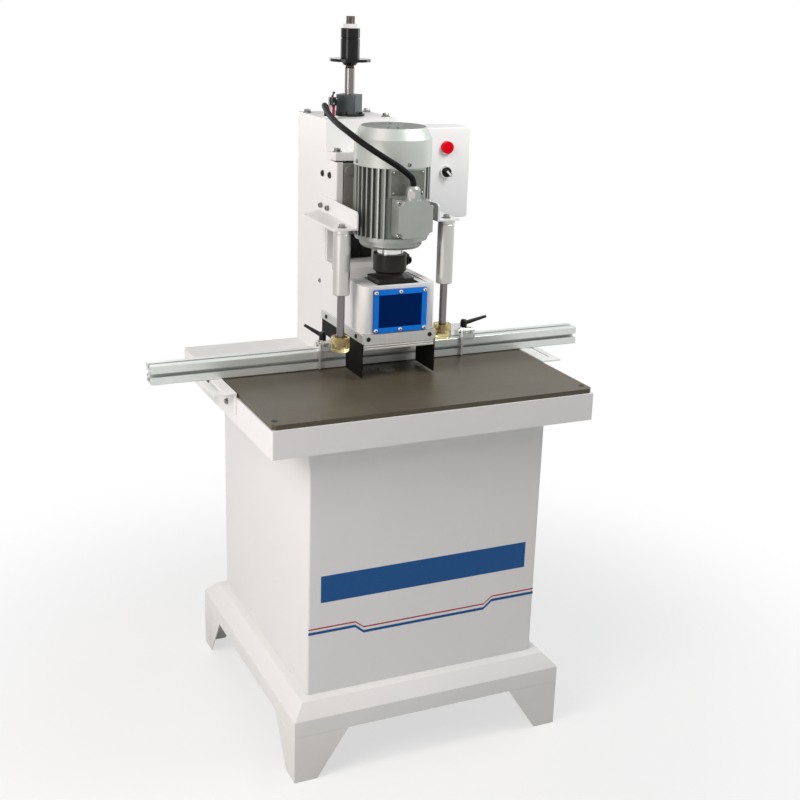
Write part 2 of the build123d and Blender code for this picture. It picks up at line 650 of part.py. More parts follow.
with BuildPart() as cable_gland:
    seat = TERMINAL_Z[1]
    top = CABLE_ROUTE[0][2]
    post(*GLAND, (seat, seat + 4), 16.5)
    with BuildSketch(Plane.XY.offset(seat + 4)):
        with Locations(GLAND):
            RegularPolygon(15.5, 6, rotation=20)
    extrude(amount=14)
    turned(*GLAND, [(0, seat + 18), (14, seat + 18), (13.5, top - 5), (9.5, top), (0, top)])
keep("cable_gland", cable_gland)


# Boring head: split collar on the motor's nose, neck, and a square gear case with three bores
def spindle_spots():
    """The centre spindle and the two dowel spindles, as plan positions."""
    return (0, DRILL), (-DOWEL_X, DRILL + DOWEL_Y), (DOWEL_X, DRILL + DOWEL_Y)


SPINDLE_RADIUS = 10
SIDE_RADIUS = 6
GEAR_TIP = GEAR_CENTRES / 2 + 0.95
with BuildPart() as boring_housing:
    turned(0, DRILL, [
        (0, HEAD_Z[1]),
        (NECK_RADIUS + 5, HEAD_Z[1]),
        (NECK_RADIUS, HEAD_Z[1] + 4),
        (NECK_RADIUS, COLLAR_Z[0] - 6),
        (COLLAR_RADIUS, COLLAR_Z[0]),
        (COLLAR_RADIUS, COLLAR_Z[1]),
        (0, COLLAR_Z[1]),
    ])
    with BuildSketch(Plane.XY.offset(HEAD_Z[0])):
        with Locations((0, (HEAD_Y[0] + HEAD_Y[1]) / 2)):
            RectangleRounded(2 * HEAD_X, HEAD_Y[1] - HEAD_Y[0], 4)
    extrude(amount=HEAD_Z[1] - HEAD_Z[0])
    ear = Location((0, DRILL, (COLLAR_Z[0] + COLLAR_Z[1]) / 2), (0, 0, EAR_TURN))
    with Locations(ear * Location((27, 0, 0))):
        Box(14, 34, 28)
    with Locations(ear * Location((34, 0, 0), (90, 0, 0))):
        Cylinder(14, 34)
    with Locations(ear * Location((40, 0, 0.5))):
        Box(40, 2.5, COLLAR_Z[1] - COLLAR_Z[0] + 1, mode=Mode.SUBTRACT)
    post(0, DRILL, (NOSE_SEAT, COLLAR_Z[1] + 1), NOSE_RADIUS, Mode.SUBTRACT)
    post(0, DRILL, (GEAR_Z[1], COLLAR_Z[1] + 1), SHAFT_RADIUS + 4, Mode.SUBTRACT)
    for spot in spindle_spots():
        post(*spot, (GEAR_Z[0] - 1, GEAR_Z[1] + 1), GEAR_TIP + 1, Mode.SUBTRACT)
    post(0, DRILL, (HEAD_Z[0] - 1, GEAR_Z[0]), SPINDLE_RADIUS + RUNNING_FIT, Mode.SUBTRACT)
    for spot in spindle_spots()[1:]:
        post(*spot, (HEAD_Z[0] - 1, GEAR_Z[1] + 9), SIDE_RADIUS + RUNNING_FIT, Mode.SUBTRACT)
keep("boring_housing", boring_housing)


def gear_outline(spot, phase):
    """Spur teeth with straight flanks; phase turns one tooth to that angle in degrees."""
    pitch = 360 / TEETH
    root, tip = GEAR_CENTRES / 2 - 1.35, GEAR_TIP
    points = []
    for tooth in range(TEETH):
        for radius, swing in ((root, -5.2), (tip, -1.5), (tip, 1.5), (root, 5.2)):
            angle = radians(phase + pitch * tooth + swing)
            points.append((spot[0] + radius * cos(angle), spot[1] + radius * sin(angle)))
    return points


# A tooth of the centre gear points at the right-hand spindle, so that gear shows it a gap
RIGHT_LINE = degrees(atan2(DOWEL_Y, DOWEL_X))
LEFT_LINE = 180 - RIGHT_LINE
TOOTH_PITCH = 360 / TEETH
LEFT_LAG = (LEFT_LINE - RIGHT_LINE) % TOOTH_PITCH
GEAR_PHASE = {
    "centre": RIGHT_LINE,
    "left": LEFT_LINE - 180 + LEFT_LAG + TOOTH_PITCH / 2,
    "right": RIGHT_LINE + 180 + TOOTH_PITCH / 2,
}
CHUCK_BOTTOM = TABLE + 116
FAN_Z = (TABLE + 450, TABLE + 480)
with BuildPart() as motor_shaft:
    post(0, DRILL, (GEAR_Z[1], FAN_Z[1] + 4), SHAFT_RADIUS)
    plate(Plane.XY.offset(GEAR_Z[0]), gear_outline((0, DRILL), GEAR_PHASE["centre"]), GEAR_Z[1] - GEAR_Z[0])
    post(0, DRILL, (CHUCK_BOTTOM, GEAR_Z[0]), SPINDLE_RADIUS)
    post(0, DRILL, (FAN_Z[0], FAN_Z[1]), 24)
    for index in range(7):
        spot = Location((0, DRILL, (FAN_Z[0] + FAN_Z[1]) / 2), (0, 0, 360 / 7 * index))
        with Locations(spot * Location((46, 0, 0))):
            Box(50, 3, FAN_Z[1] - FAN_Z[0])
    post(0, DRILL, (CHUCK_BOTTOM - 1, CHUCK_BOTTOM + 20), 5, Mode.SUBTRACT)
keep("motor_shaft", motor_shaft)

with BuildPart() as cup_bit:
    post(0, DRILL, (BIT_TIP + 14, CHUCK_BOTTOM + 20), 5)
    post(0, DRILL, (BIT_TIP + 2, BIT_TIP + 14), CUP_RADIUS)
    for side in (-1, 1):
        gullet = sorted((side * 2, side * 20))
        span(gullet, sorted((DRILL + side * 1.5, DRILL + side * 9)), (BIT_TIP, BIT_TIP + 16), Mode.SUBTRACT)
    turned(0, DRILL, [(0, BIT_TIP), (2, BIT_TIP + 3), (0, BIT_TIP + 3)])
keep("cup_bit", cup_bit)

for name, spot in zip(("left", "right"), spindle_spots()[1:]):
    with BuildPart() as side_spindle:
        post(*spot, (CHUCK_BOTTOM, HEAD_Z[0] - 1), 8.5)
        post(*spot, (CHUCK_BOTTOM, GEAR_Z[1] + 8), SIDE_RADIUS)
        plate(Plane.XY.offset(GEAR_Z[0]), gear_outline(spot, GEAR_PHASE[name]), GEAR_Z[1] - GEAR_Z[0])
        turned(*spot, [
            (0, BIT_TIP),
            (DOWEL_RADIUS, BIT_TIP + 3),
            (DOWEL_RADIUS, CHUCK_BOTTOM + 1),
            (0, CHUCK_BOTTOM + 1),
        ])
    keep(f"side_spindle_{name}", side_spindle)

# Clamps: angle brackets on the column's cheeks, air cylinders, rods with clear urethane feet
for name, side in (("left", -1), ("right", 1)):
    lift = CLAMP_LIFT[name]
    axis = (side * CLAMP_X, CLAMP_Y)
    ledge_z = BRACKET_Z + lift
    front = DRILL - 38
    with BuildPart() as clamp_bracket:
        arm = [
            (side * COLUMN_X, DRILL + 194),
            (side * COLUMN_X, CHEEK_FRONT),
            (side * (BRACKET_X[0] - BRACKET_SHEET), front),
            (side * BRACKET_X[0], front),
            (side * (COLUMN_X + BRACKET_SHEET), CHEEK_FRONT),
            (side * (COLUMN_X + BRACKET_SHEET), DRILL + 194),
        ]
        plate(Plane.XY.offset(ledge_z), arm, 37)
        ledge = arm[:3] + [
            (side * BRACKET_X[1], front),
            (side * BRACKET_X[1], DRILL + 148),
            (side * (COLUMN_X + BRACKET_SHEET), DRILL + 194),
        ]
        plate(Plane.XY.offset(ledge_z), ledge, BRACKET_SHEET)
        nose = clamp_bracket.edges().filter_by(Axis.X).group_by(Axis.Z)[-1].sort_by(Axis.Y)[:1]
        chamfer(nose, 5)
    keep(f"clamp_bracket_{name}", clamp_bracket)

    with BuildPart() as clamp_cylinder:
        low = CLAMP_BOTTOM + lift
        turned(*axis, [
            (CLAMP_ROD + RUNNING_FIT, low),
            (CLAMP_RADIUS - 1.5, low),
            (CLAMP_RADIUS, low + 1.5),
            (CLAMP_RADIUS, ledge_z - 9),
            (CLAMP_RADIUS - 0.7, ledge_z - 8),
            (CLAMP_RADIUS, ledge_z - 7),
            (CLAMP_RADIUS, ledge_z),
            (0, ledge_z),
            (0, ledge_z - 10),
            (CLAMP_BORE, ledge_z - 10),
            (CLAMP_BORE, low + 14),
            (CLAMP_ROD + RUNNING_FIT, low + 14),
        ])
    keep(f"clamp_cylinder_{name}", clamp_cylinder)

    foot_low, foot_high = (height + lift for height in CLAMP_FOOT)
    with BuildPart() as clamp_rod:
        post(*axis, (foot_low + 10, ledge_z - 24), CLAMP_ROD)
        post(*axis, (ledge_z - 34, ledge_z - 20), CLAMP_BORE - RUNNING_FIT)
        post(*axis, (foot_low + 17, foot_low + 20), 12)
    keep(f"clamp_rod_{name}", clamp_rod)

    with BuildPart() as clamp_foot:
        turned(*axis, [
            (0, foot_low),
            (FOOT_RADIUS - 1.5, foot_low),
            (FOOT_RADIUS, foot_low + 1.5),
            (FOOT_RADIUS, foot_high),
            (FOOT_RADIUS - 4, foot_high),
            (FOOT_RADIUS - 4, foot_low + 17),
            (CLAMP_ROD, foot_low + 17),
            (CLAMP_ROD, foot_low + 10),
            (0, foot_low + 10),
        ])
    keep(f"clamp_foot_{name}", clamp_foot)

# Dust box round the cutters, with a clear window, a bar frame, a ribbed strip and rubber skirts
with BuildPart() as dust_box:
    with BuildSketch(Plane.XY.offset(BOX_Z[0])) as plan:
        with Locations((0, (BOX_Y[0] + BOX_Y[1]) / 2)):
            Rectangle(2 * BOX_X, BOX_Y[1] - BOX_Y[0])
        fillet(plan.vertices().group_by(Axis.Y)[0], 12)
    extrude(amount=BOX_Z[1] - BOX_Z[0])
    with BuildSketch(Plane.XY.offset(BOX_Z[0])) as hollow:
        with Locations((0, (BOX_Y[0] + BOX_Y[1]) / 2)):
            Rectangle(2 * (BOX_X - SHEET), BOX_Y[1] - BOX_Y[0] - 2 * SHEET)
        fillet(hollow.vertices().group_by(Axis.Y)[0], 12 - SHEET)
    extrude(amount=BOX_Z[1] - BOX_Z[0] - SHEET, mode=Mode.SUBTRACT)
    span((-66, 66), (DRILL - 49, DRILL + 52), (BOX_Z[1] - 5, BOX_Z[1] + 1), Mode.SUBTRACT)
    span((-49, 49), (BOX_Y[0] - 1, BOX_Y[0] + 5), (TABLE + 110, TABLE + 179), Mode.SUBTRACT)
    with Locations(Location((0, BOX_Y[1], DUCT_Z), (90, 0, 0))):
        Cylinder(DUCT_RADIUS - SHEET, 8, mode=Mode.SUBTRACT)
keep("dust_box", dust_box)

with BuildPart() as dust_window:
    with BuildSketch(Plane.XZ.offset(-BOX_Y[0])):
        with Locations((0, TABLE + 144.5)):
            RectangleRounded(121, 91, 3)
    extrude(amount=4)
keep("dust_window", dust_window)

FRAME_X = 84
FRAME_FRONT = BOX_Y[0] - 3.5
with BuildPart() as skirt_frame:
    bars = [
        (-FRAME_X, FRAME_FRONT), (FRAME_X, FRAME_FRONT), (FRAME_X, DRILL + 175), (COLUMN_X, DRILL + 175),
        (COLUMN_X, BOX_Y[0]), (-COLUMN_X, BOX_Y[0]), (-COLUMN_X, DRILL + 175), (-FRAME_X, DRILL + 175),
    ]
    plate(Plane.XY.offset(FRAME_BAR_Z[0]), bars, FRAME_BAR_Z[1] - FRAME_BAR_Z[0])
keep("skirt_frame", skirt_frame)

with BuildPart() as front_strip:
    low, high = TABLE + 64, FRAME_BAR_Z[0]
    ribs = [(BOX_Y[0] + 3, low), (BOX_Y[0] + 3, high), (FRAME_FRONT, high)]
    for step in (0.25, 0.6):
        height = high - step * (high - low)
        ribs += [(FRAME_FRONT, height), (FRAME_FRONT + 2, height - 1), (FRAME_FRONT, height - 2)]
    ribs += [(FRAME_FRONT, low)]
    plate(Plane.YZ.offset(-80), ribs, 160)
keep("front_strip", front_strip)

for name, side in (("left", -1), ("right", 1)):
    with BuildPart() as side_skirt:
        rubber = [
            (BOX_Y[0] - 1, TABLE + 5),
            (FENCE_Y - 15, TABLE + 5),
            (FENCE_Y - 15, TABLE + 46),
            (DRILL + 170, TABLE + 46),
            (DRILL + 170, FRAME_BAR_Z[0]),
            (BOX_Y[0] - 1, FRAME_BAR_Z[0]),
        ]
        plate(Plane.YZ.offset(side * 81), rubber, side * 3)
    keep(f"side_skirt_{name}", side_skirt)

with BuildPart() as dust_duct:
    end = COLUMN_BACK + 40
    with BuildSketch(Plane.XZ.offset(-LOWER_FRONT)):
        with Locations((0, DUCT_Z)):
            Circle(DUCT_RADIUS)
    extrude(amount=LOWER_FRONT - end)
    with BuildSketch(Plane.XZ.offset(-COLUMN_BACK)):
        with Locations((0, DUCT_Z)):
            RectangleRounded(110, 110, 8)
    extrude(amount=-3)
    with BuildSketch(Plane.XZ.offset(1 - LOWER_FRONT)):
        with Locations((0, DUCT_Z)):
            Circle(DUCT_RADIUS - 2)
    extrude(amount=LOWER_FRONT - end - 2, mode=Mode.SUBTRACT)
keep("dust_duct", dust_duct)

# Control box with a lamp and a selector on its front
with BuildPart() as control_box:
    span(CONTROL_X, CONTROL_Y, CONTROL_Z)
    fillet(control_box.edges().filter_by(Axis.Y).sort_by(Axis.X)[2:], 7)
    fillet(control_box.faces().sort_by(Axis.Y)[0].edges(), 2)
    hollow = [(low + SHEET, high - SHEET) for low, high in (CONTROL_X, CONTROL_Y, CONTROL_Z)]
    span(*hollow, Mode.SUBTRACT)
keep("control_box", control_box)


def fascia(height, points):
    """A turned device on the control box's front, from (radius, distance out) points."""
    with BuildSketch(Plane.XY.offset(height)) as half:
        with BuildLine():
            Polyline(*[(DEVICE_X + r, CONTROL_Y[0] - out) for r, out in points], close=True)
        make_face()
    revolve(half.sketch, axis=Axis((DEVICE_X, 0, height), (0, 1, 0)))


with BuildPart() as panel_bezels:
    fascia(LAMP_Z, [(10, 0), (14.8, 0), (14.8, 1.5), (10, 1.5)])
    fascia(SELECTOR_Z, [(11.5, 0), (14.2, 0), (14.2, 4), (13, 6), (11.5, 6)])
keep("panel_bezels", panel_bezels)

with BuildPart() as lamp_lens:
    fascia(LAMP_Z, [(0, 0), (9.8, 0), (9.8, 1.5), (13.7, 1.5), (13.7, 9.5), (12.5, 10.7), (0, 11.5)])
keep("lamp_lens", lamp_lens)

with BuildPart() as selector_knob:
    fascia(SELECTOR_Z, [(0, 0.3), (11.1, 0.3), (11.1, 8), (0, 8)])
    with BuildSketch(Plane.XZ.offset(8 - CONTROL_Y[0])):
        with Locations(Location((DEVICE_X, SELECTOR_Z), -45)):
            SlotOverall(21, 8)
    extrude(amount=9)
keep("selector_knob", selector_knob)

# Motor cable: straight runs joined by arcs as large as their runs allow
corners = [Vector(*point) for point in CABLE_ROUTE]
bends = []
for before, at, after in zip(corners, corners[1:], corners[2:]):
    run_in, run_out = at - before, after - at
    turn = radians(run_in.get_angle(run_out))
    bends.append(0.45 * min(run_in.length, run_out.length) / tan(turn / 2))
print("cable bend radii", [round(radius) for radius in bends])
with BuildPart() as motor_cable:
    with BuildLine():
        route = FilletPolyline(*CABLE_ROUTE, radius=bends)
    with BuildSketch(Plane(origin=route @ 0, z_dir=route % 0)):
        Circle(CABLE_RADIUS)
    sweep()
keep("motor_cable", motor_cable)
plain_volume = pi * CABLE_RADIUS**2 * route.length
print("cable length", round(route.length))
print("cable volume over section times length", round(motor_cable.part.volume / plain_volume, 4))

for name, piece in pieces.items():
    piece.part.label = name
    export_step(piece.part, f"parts/{name}.step")
print(len(pieces), "pieces")
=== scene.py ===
# %% [markdown]
# # Dressing a hinge boring machine
# The machine bores the 35 mm cup and the two dowel holes of a cabinet hinge. Its solids come from
# the CAD model, already in place and in metres. This lesson gives them their finishes, adds the
# screws, stripes and threads that are too small for the solids, and sets up a studio to see it in.

# %% Load the solids
from math import cos, pi, radians, sin

import bmesh
import bpy
from mathutils import Matrix, Vector


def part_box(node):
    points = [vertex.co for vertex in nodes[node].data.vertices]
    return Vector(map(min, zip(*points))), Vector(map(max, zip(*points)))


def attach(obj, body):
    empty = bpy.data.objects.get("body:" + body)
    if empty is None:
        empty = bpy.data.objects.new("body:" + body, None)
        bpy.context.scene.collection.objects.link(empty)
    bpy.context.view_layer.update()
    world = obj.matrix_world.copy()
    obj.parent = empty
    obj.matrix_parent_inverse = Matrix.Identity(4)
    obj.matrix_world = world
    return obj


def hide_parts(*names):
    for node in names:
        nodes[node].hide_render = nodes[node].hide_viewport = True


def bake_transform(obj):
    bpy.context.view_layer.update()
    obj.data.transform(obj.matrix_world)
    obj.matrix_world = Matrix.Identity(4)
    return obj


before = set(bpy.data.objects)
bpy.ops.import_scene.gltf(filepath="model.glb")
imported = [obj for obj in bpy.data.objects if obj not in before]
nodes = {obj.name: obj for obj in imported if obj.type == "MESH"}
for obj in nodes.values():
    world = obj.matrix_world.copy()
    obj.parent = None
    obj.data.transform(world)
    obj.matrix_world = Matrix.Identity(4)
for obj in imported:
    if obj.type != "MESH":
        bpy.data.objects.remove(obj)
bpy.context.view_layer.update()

# %% [markdown]
# ## One way to say where things are
# A maker measures this machine from two datums: the table top and the drill axis. `at` turns such
# millimetres into the model's metres, so every number below can be checked with a rule. Metres from
# the floor would do as well, but they hide which face a piece lies on.

# %% The two datums
MM = 0.001
TABLE_HEIGHT = 780
DRILL_AXIS_Y = -53


def at(x, y, z):
    """A point given in millimetres from the drill axis and the table top."""
    return Vector((x, DRILL_AXIS_Y + y, TABLE_HEIGHT + z)) * MM


print("table top at", at(0, 0, 0)[:])

# %% [markdown]
# ## The camera
# The view was solved from straight edges of known size: the fence, the table and the column. It
# stands to the operator's left, a little above the motor, and leans by less than two degrees.
# Setting the three axes of the matrix is surer than three angles, because the lean comes last.

# %% Set the camera
AZIMUTH, PITCH, LEAN = radians(-25.052), radians(18.123), radians(1.758)
STAND = (-1083.6, -2389.1, 790.1)
FOCAL_LENGTH, SENSOR_WIDTH = 57.42, 36
forward = Vector((-sin(AZIMUTH) * cos(PITCH), cos(AZIMUTH) * cos(PITCH), -sin(PITCH)))
level_right = Vector((cos(AZIMUTH), sin(AZIMUTH), 0))
level_up = level_right.cross(forward)
right = level_right * cos(LEAN) + level_up * sin(LEAN)
up = level_up * cos(LEAN) - level_right * sin(LEAN)

lens = bpy.data.cameras.new("studio_camera")
lens.sensor_width = SENSOR_WIDTH
lens.lens = FOCAL_LENGTH
camera = bpy.data.objects.new("studio_camera", lens)
bpy.context.collection.objects.link(camera)
turn = Matrix((right, up, -forward)).transposed().to_4x4()
camera.matrix_world = Matrix.Translation(at(*STAND)) @ turn
bpy.context.scene.camera = camera
bpy.context.scene.view_settings.view_transform = "Standard"
print("camera at", [round(value, 3) for value in camera.location])

# %% [markdown]
# ## Small helpers for materials
# Colours are written as the hex values a paint chart gives. Blender's shaders work with linear
# light, so one function converts them. A second one adds a node with its settings and links, which
# keeps each recipe below to a few lines that read like a list of ingredients.

# %% Colour and node helpers


def linear(code):
    """A hex colour such as 'E4E4E1' as linear RGBA."""
    channels = [int(code[i:i + 2], 16) / 255 for i in (0, 2, 4)]
    return [c / 12.92 if c <= 0.04045 else ((c + 0.055) / 1.055) ** 2.4 for c in channels] + [1]


def add(tree, kind, inputs=None, **settings):
    """Adds a node. Inputs map a socket to a value, or to another node's output to link it."""
    made = tree.nodes.new(kind)
    for field, value in settings.items():
        setattr(made, field, value)
    for socket, value in (inputs or {}).items():
        if isinstance(value, bpy.types.NodeSocket):
            tree.links.new(value, made.inputs[socket])
        else:
            made.inputs[socket].default_value = value
    return made


def finish(name, code, roughness, **sockets):
    """A new material: its node tree, its main shader and its object coordinates."""
    material = bpy.data.materials.new(name)
    material.use_nodes = True
    tree = material.node_tree
    shader = tree.nodes["Principled BSDF"]
    shader.inputs["Base Color"].default_value = linear(code)
    shader.inputs["Roughness"].default_value = roughness
    for socket, value in sockets.items():
        shader.inputs[socket.replace("_", " ")].default_value = value
    place = add(tree, "ShaderNodeTexCoord").outputs["Object"]
    material.diffuse_color = linear(code)
    return material, tree, shader, place


def per_metre(size_mm):
    """Texture scale at which one feature is that many millimetres wide."""
    return 1000 / size_mm


print("white paint in linear light", [round(c, 3) for c in linear("E4E4E1")])

# %% [markdown]
# ## Studio: floor, sky and lamps
# A workshop machine is mostly white paint, and white only shows its form if the light has a side.
# One large soft lamp stands high on the left, so the left faces and the tops are lightest, and a
# weak one below it fills the shade beside the dust box. A small lamp hangs near the operator's head
# and fades quickly, which leaves the cabinet's front in gentle shade. The last two stand low behind
# and at the right, so those sides are clear too when the machine is turned.
# The sky looks white to the camera and in reflections, yet lights the machine at a plain level.
# The floor keeps the shadow near the machine and turns into that same white further out, so no
# horizon shows.

# %% Sky
WHITE = (1, 1, 1, 1)
SKY_LIGHT = 0.22


def seen_directly(tree):
    """1 for rays that show the background, straight, mirrored or through glass, and 0 for light."""
    rays = add(tree, "ShaderNodeLightPath").outputs
    mirrored = add(tree, "ShaderNodeMath", {0: rays["Is Camera Ray"], 1: rays["Is Glossy Ray"]},
                   operation="MAXIMUM")
    through = add(tree, "ShaderNodeMath", {0: mirrored.outputs[0], 1: rays["Is Transmission Ray"]},
                  operation="MAXIMUM")
    return through.outputs[0]


world = bpy.data.worlds.new("studio_sky")
bpy.context.scene.world = world
world.use_nodes = True
tree = world.node_tree
tree.nodes.clear()
lit = add(tree, "ShaderNodeBackground", {"Color": linear("F2F6FA"), "Strength": SKY_LIGHT})
shown = add(tree, "ShaderNodeBackground", {"Color": WHITE, "Strength": 1.0})
sky = add(tree, "ShaderNodeMixShader",
          {0: seen_directly(tree), 1: lit.outputs[0], 2: shown.outputs[0]})
add(tree, "ShaderNodeOutputWorld", {"Surface": sky.outputs[0]})
print("sky lights at", SKY_LIGHT)

# %% Floor
FLOOR_REACH, FLOOR_GAP, FADE_START, FADE_END = 9, 0.0006, 0.5, 1.5  # metres
NEAR_WHITE = 0.6
corners = [(x * FLOOR_REACH, y * FLOOR_REACH, 0) for x, y in ((-1, -1), (1, -1), (1, 1), (-1, 1))]
floor_mesh = bpy.data.meshes.new("studio_floor")
floor_mesh.from_pydata(corners, [], [(0, 1, 2, 3)])
floor = bpy.data.objects.new("studio_floor", floor_mesh)
bpy.context.collection.objects.link(floor)
floor.location.z = -FLOOR_GAP

# Matt pale paint: it takes a soft shadow and gives no reflection.
floor_paint, tree, shader, place = finish("studio_floor_paint", "EDEDEC", 0.9)
away = add(tree, "ShaderNodeVectorMath", {0: place}, operation="LENGTH").outputs["Value"]
fade = add(tree, "ShaderNodeMapRange",
           {"Value": away, "From Min": FADE_START, "From Max": FADE_END, "To Min": NEAR_WHITE},
           interpolation_type="SMOOTHSTEP")
white = add(tree, "ShaderNodeMath", {0: seen_directly(tree), 1: fade.outputs[0]},
            operation="MULTIPLY")
glow = add(tree, "ShaderNodeEmission", {"Color": WHITE, "Strength": 1.0})
both = add(tree, "ShaderNodeMixShader",
           {0: white.outputs[0], 1: shader.outputs[0], 2: glow.outputs[0]})
tree.links.new(both.outputs[0], tree.nodes["Material Output"].inputs["Surface"])
floor_mesh.materials.append(floor_paint)
print("floor", 2 * FLOOR_REACH, "m wide, white from", FADE_END, "m outwards")

# %% Lamps
LAMP_AIM = Vector((0, 0, 0.8))
LAMPS = {  # place and width in metres, power in watts, tint
    "left_softbox": ((-2.4, -1.0, 2.6), 2.2, 60, "FFF5F1"),
    "side_fill": ((-1.6, -0.8, 1.2), 0.8, 7, "FFF5F1"),
    "operator_light": ((0.55, -0.5, 1.75), 0.5, 7.5, "FFFFFF"),
    "back_light": ((-0.6, 2.4, 1.6), 1.4, 12, "FFFFFF"),
    "right_fill": ((2.6, 0.4, 1.5), 1.2, 10, "FFFFFF"),
}
for name, (spot, width, power, tint) in LAMPS.items():
    lamp = bpy.data.lights.new(name, "AREA")
    lamp.shape = "DISK"
    lamp.size = width
    lamp.energy = power
    lamp.color = linear(tint)[:3]
    holder = bpy.data.objects.new(name, lamp)
    holder.location = spot
    holder.rotation_euler = (LAMP_AIM - Vector(spot)).to_track_quat("-Z", "Y").to_euler()
    bpy.context.collection.objects.link(holder)
print("lamps:", ", ".join(LAMPS))

# %% [markdown]
# ## White powder coat
# Cabinet, column, brackets and boxes are folded steel sheet with white powder coat. Powder melts in
# the oven into a film with a faint orange-peel ripple about a millimetre and a half wide. It could
# be real geometry, but a relief this low needs no more than a bump. The coat is even, yet handling
# leaves it a touch greyer low down, where shoes and brooms reach.

# %% White powder coat
GRIME_TOP = 0.16  # metres above the floor
# Soft gloss that varies a little, so broad faces look sprayed and not like plastic.
powder_white, tree, shader, place = finish("powder_coated_steel_white", "E7E8E7", 0.4,
                                           Specular_IOR_Level=0.35)
peel = add(tree, "ShaderNodeTexNoise", {"Vector": place, "Scale": per_metre(1.6), "Detail": 2.0})
ripple = add(tree, "ShaderNodeBump",
             {"Height": peel.outputs["Fac"], "Strength": 0.05, "Distance": 0.4 * MM})
tree.links.new(ripple.outputs["Normal"], shader.inputs["Normal"])
cloud = add(tree, "ShaderNodeTexNoise", {"Vector": place, "Scale": per_metre(170), "Detail": 4.0,
                                         "Roughness": 0.6}).outputs["Fac"]
height = add(tree, "ShaderNodeSeparateXYZ", {0: place}).outputs["Z"]
low = add(tree, "ShaderNodeMapRange", {"Value": height, "From Min": GRIME_TOP, "From Max": 0.0})
grime = add(tree, "ShaderNodeMath", {0: low.outputs[0], 1: cloud}, operation="MULTIPLY")
even = add(tree, "ShaderNodeMix", {0: cloud, 6: linear("EAEBEA"), 7: linear("E4E5E4")},
           data_type="RGBA")
coat = add(tree, "ShaderNodeMix", {0: grime.outputs[0], 6: even.outputs[2], 7: linear("C6C5C0")},
           data_type="RGBA")
tree.links.new(coat.outputs[2], shader.inputs["Base Color"])
gloss = add(tree, "ShaderNodeMapRange", {"Value": cloud, "To Min": 0.30, "To Max": 0.44})
tree.links.new(gloss.outputs[0], shader.inputs["Roughness"])
print("made", powder_white.name)

# %% [markdown]
# ## Table panel
# The work surface is a dark compact laminate: sheets of resin-soaked paper pressed into one hard
# board. Its face is a fine mottle of grey-brown. Doors slide over it all day, mostly along the
# fence, so long pale scuffs run that way and polish it in streaks. Drawing each scuff would take
# hundreds of strokes, while a noise stretched along the fence gives them all at once.

# %% Compact laminate
# Dark and half matt, with a mottle that shows close up and streaks that show from afar.
laminate, tree, shader, place = finish("compact_laminate_grey_brown", "4C463A", 0.42,
                                       Specular_IOR_Level=0.3)
mottle = add(tree, "ShaderNodeTexNoise", {"Vector": place, "Scale": per_metre(7), "Detail": 6.0,
                                          "Roughness": 0.7}).outputs["Fac"]
patch = add(tree, "ShaderNodeTexNoise", {"Vector": place, "Scale": per_metre(150), "Detail": 3.0})
stretch = add(tree, "ShaderNodeMapping",
              {"Vector": place, "Scale": (per_metre(160), per_metre(5), per_metre(20))})
scuffs = add(tree, "ShaderNodeTexNoise",
             {"Vector": stretch.outputs[0], "Scale": 1.0, "Detail": 5.0, "Roughness": 0.65})
streak = add(tree, "ShaderNodeMapRange",
             {"Value": scuffs.outputs["Fac"], "From Min": 0.55, "From Max": 0.8, "To Max": 0.45})
board = add(tree, "ShaderNodeMix", {0: mottle, 6: linear("413B2F"), 7: linear("575042")},
            data_type="RGBA")
worn = add(tree, "ShaderNodeMix", {0: streak.outputs[0], 6: board.outputs[2], 7: linear("686153")},
           data_type="RGBA")
tree.links.new(worn.outputs[2], shader.inputs["Base Color"])
gloss = add(tree, "ShaderNodeMapRange",
            {"Value": patch.outputs["Fac"], "To Min": 0.30, "To Max": 0.5})
tree.links.new(gloss.outputs[0], shader.inputs["Roughness"])
grain = add(tree, "ShaderNodeBump", {"Height": mottle, "Strength": 0.05, "Distance": 0.3 * MM})
tree.links.new(grain.outputs["Normal"], shader.inputs["Normal"])
print("made", laminate.name)

# %% [markdown]
# ## Extruded aluminium
# The fence and the stops' bases are pressed through a die and then clear anodised. The die leaves
# hairlines along the length. Real ones are far finer than a pixel, so they are drawn 0.9 mm apart,
# which still reads as a satin line along the bar. The fence's slots hold dust and oil, and they are
# painted darker inwards, which is painted shade in their depth as well as dirt, while the sawn ends
# keep the plain tone. The distance from the bar's middle tells a slot from an outer face, so no face
# has to be picked by hand.

# %% Anodised extrusion
SLOT_MOUTH, SLOT_FLOOR, SLOT_DIRT_AND_SHADE, SAW_MARGIN = 19.4, 12, 0.2, 0.3
# Pale and satin: the highlight is drawn out across the bar.
extrusion, tree, shader, place = finish("anodised_aluminium_extrusion", "D5DAD7", 0.34,
                                        Metallic=0.55)
along = add(tree, "ShaderNodeMapping",
            {"Vector": place, "Scale": (per_metre(300), per_metre(0.9), per_metre(0.9))})
lines = add(tree, "ShaderNodeTexNoise",
            {"Vector": along.outputs[0], "Scale": 1.0, "Detail": 2.0}).outputs["Fac"]
gloss = add(tree, "ShaderNodeMapRange", {"Value": lines, "To Min": 0.26, "To Max": 0.46})
tree.links.new(gloss.outputs[0], shader.inputs["Roughness"])
satin = add(tree, "ShaderNodeBump", {"Height": lines, "Strength": 0.06, "Distance": 0.3 * MM})
tree.links.new(satin.outputs["Normal"], shader.inputs["Normal"])
tone = add(tree, "ShaderNodeMix", {0: lines, 6: linear("CED3D0"), 7: linear("DCE0DD")},
           data_type="RGBA")
low_corner, high_corner = (Vector(corner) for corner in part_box("fence_profile"))
core = add(tree, "ShaderNodeVectorMath", {0: place, 1: (low_corner + high_corner) / 2},
           operation="SUBTRACT")
spread = add(tree, "ShaderNodeVectorMath", {0: core.outputs[0]}, operation="ABSOLUTE")
off = add(tree, "ShaderNodeSeparateXYZ", {0: spread.outputs[0]}).outputs
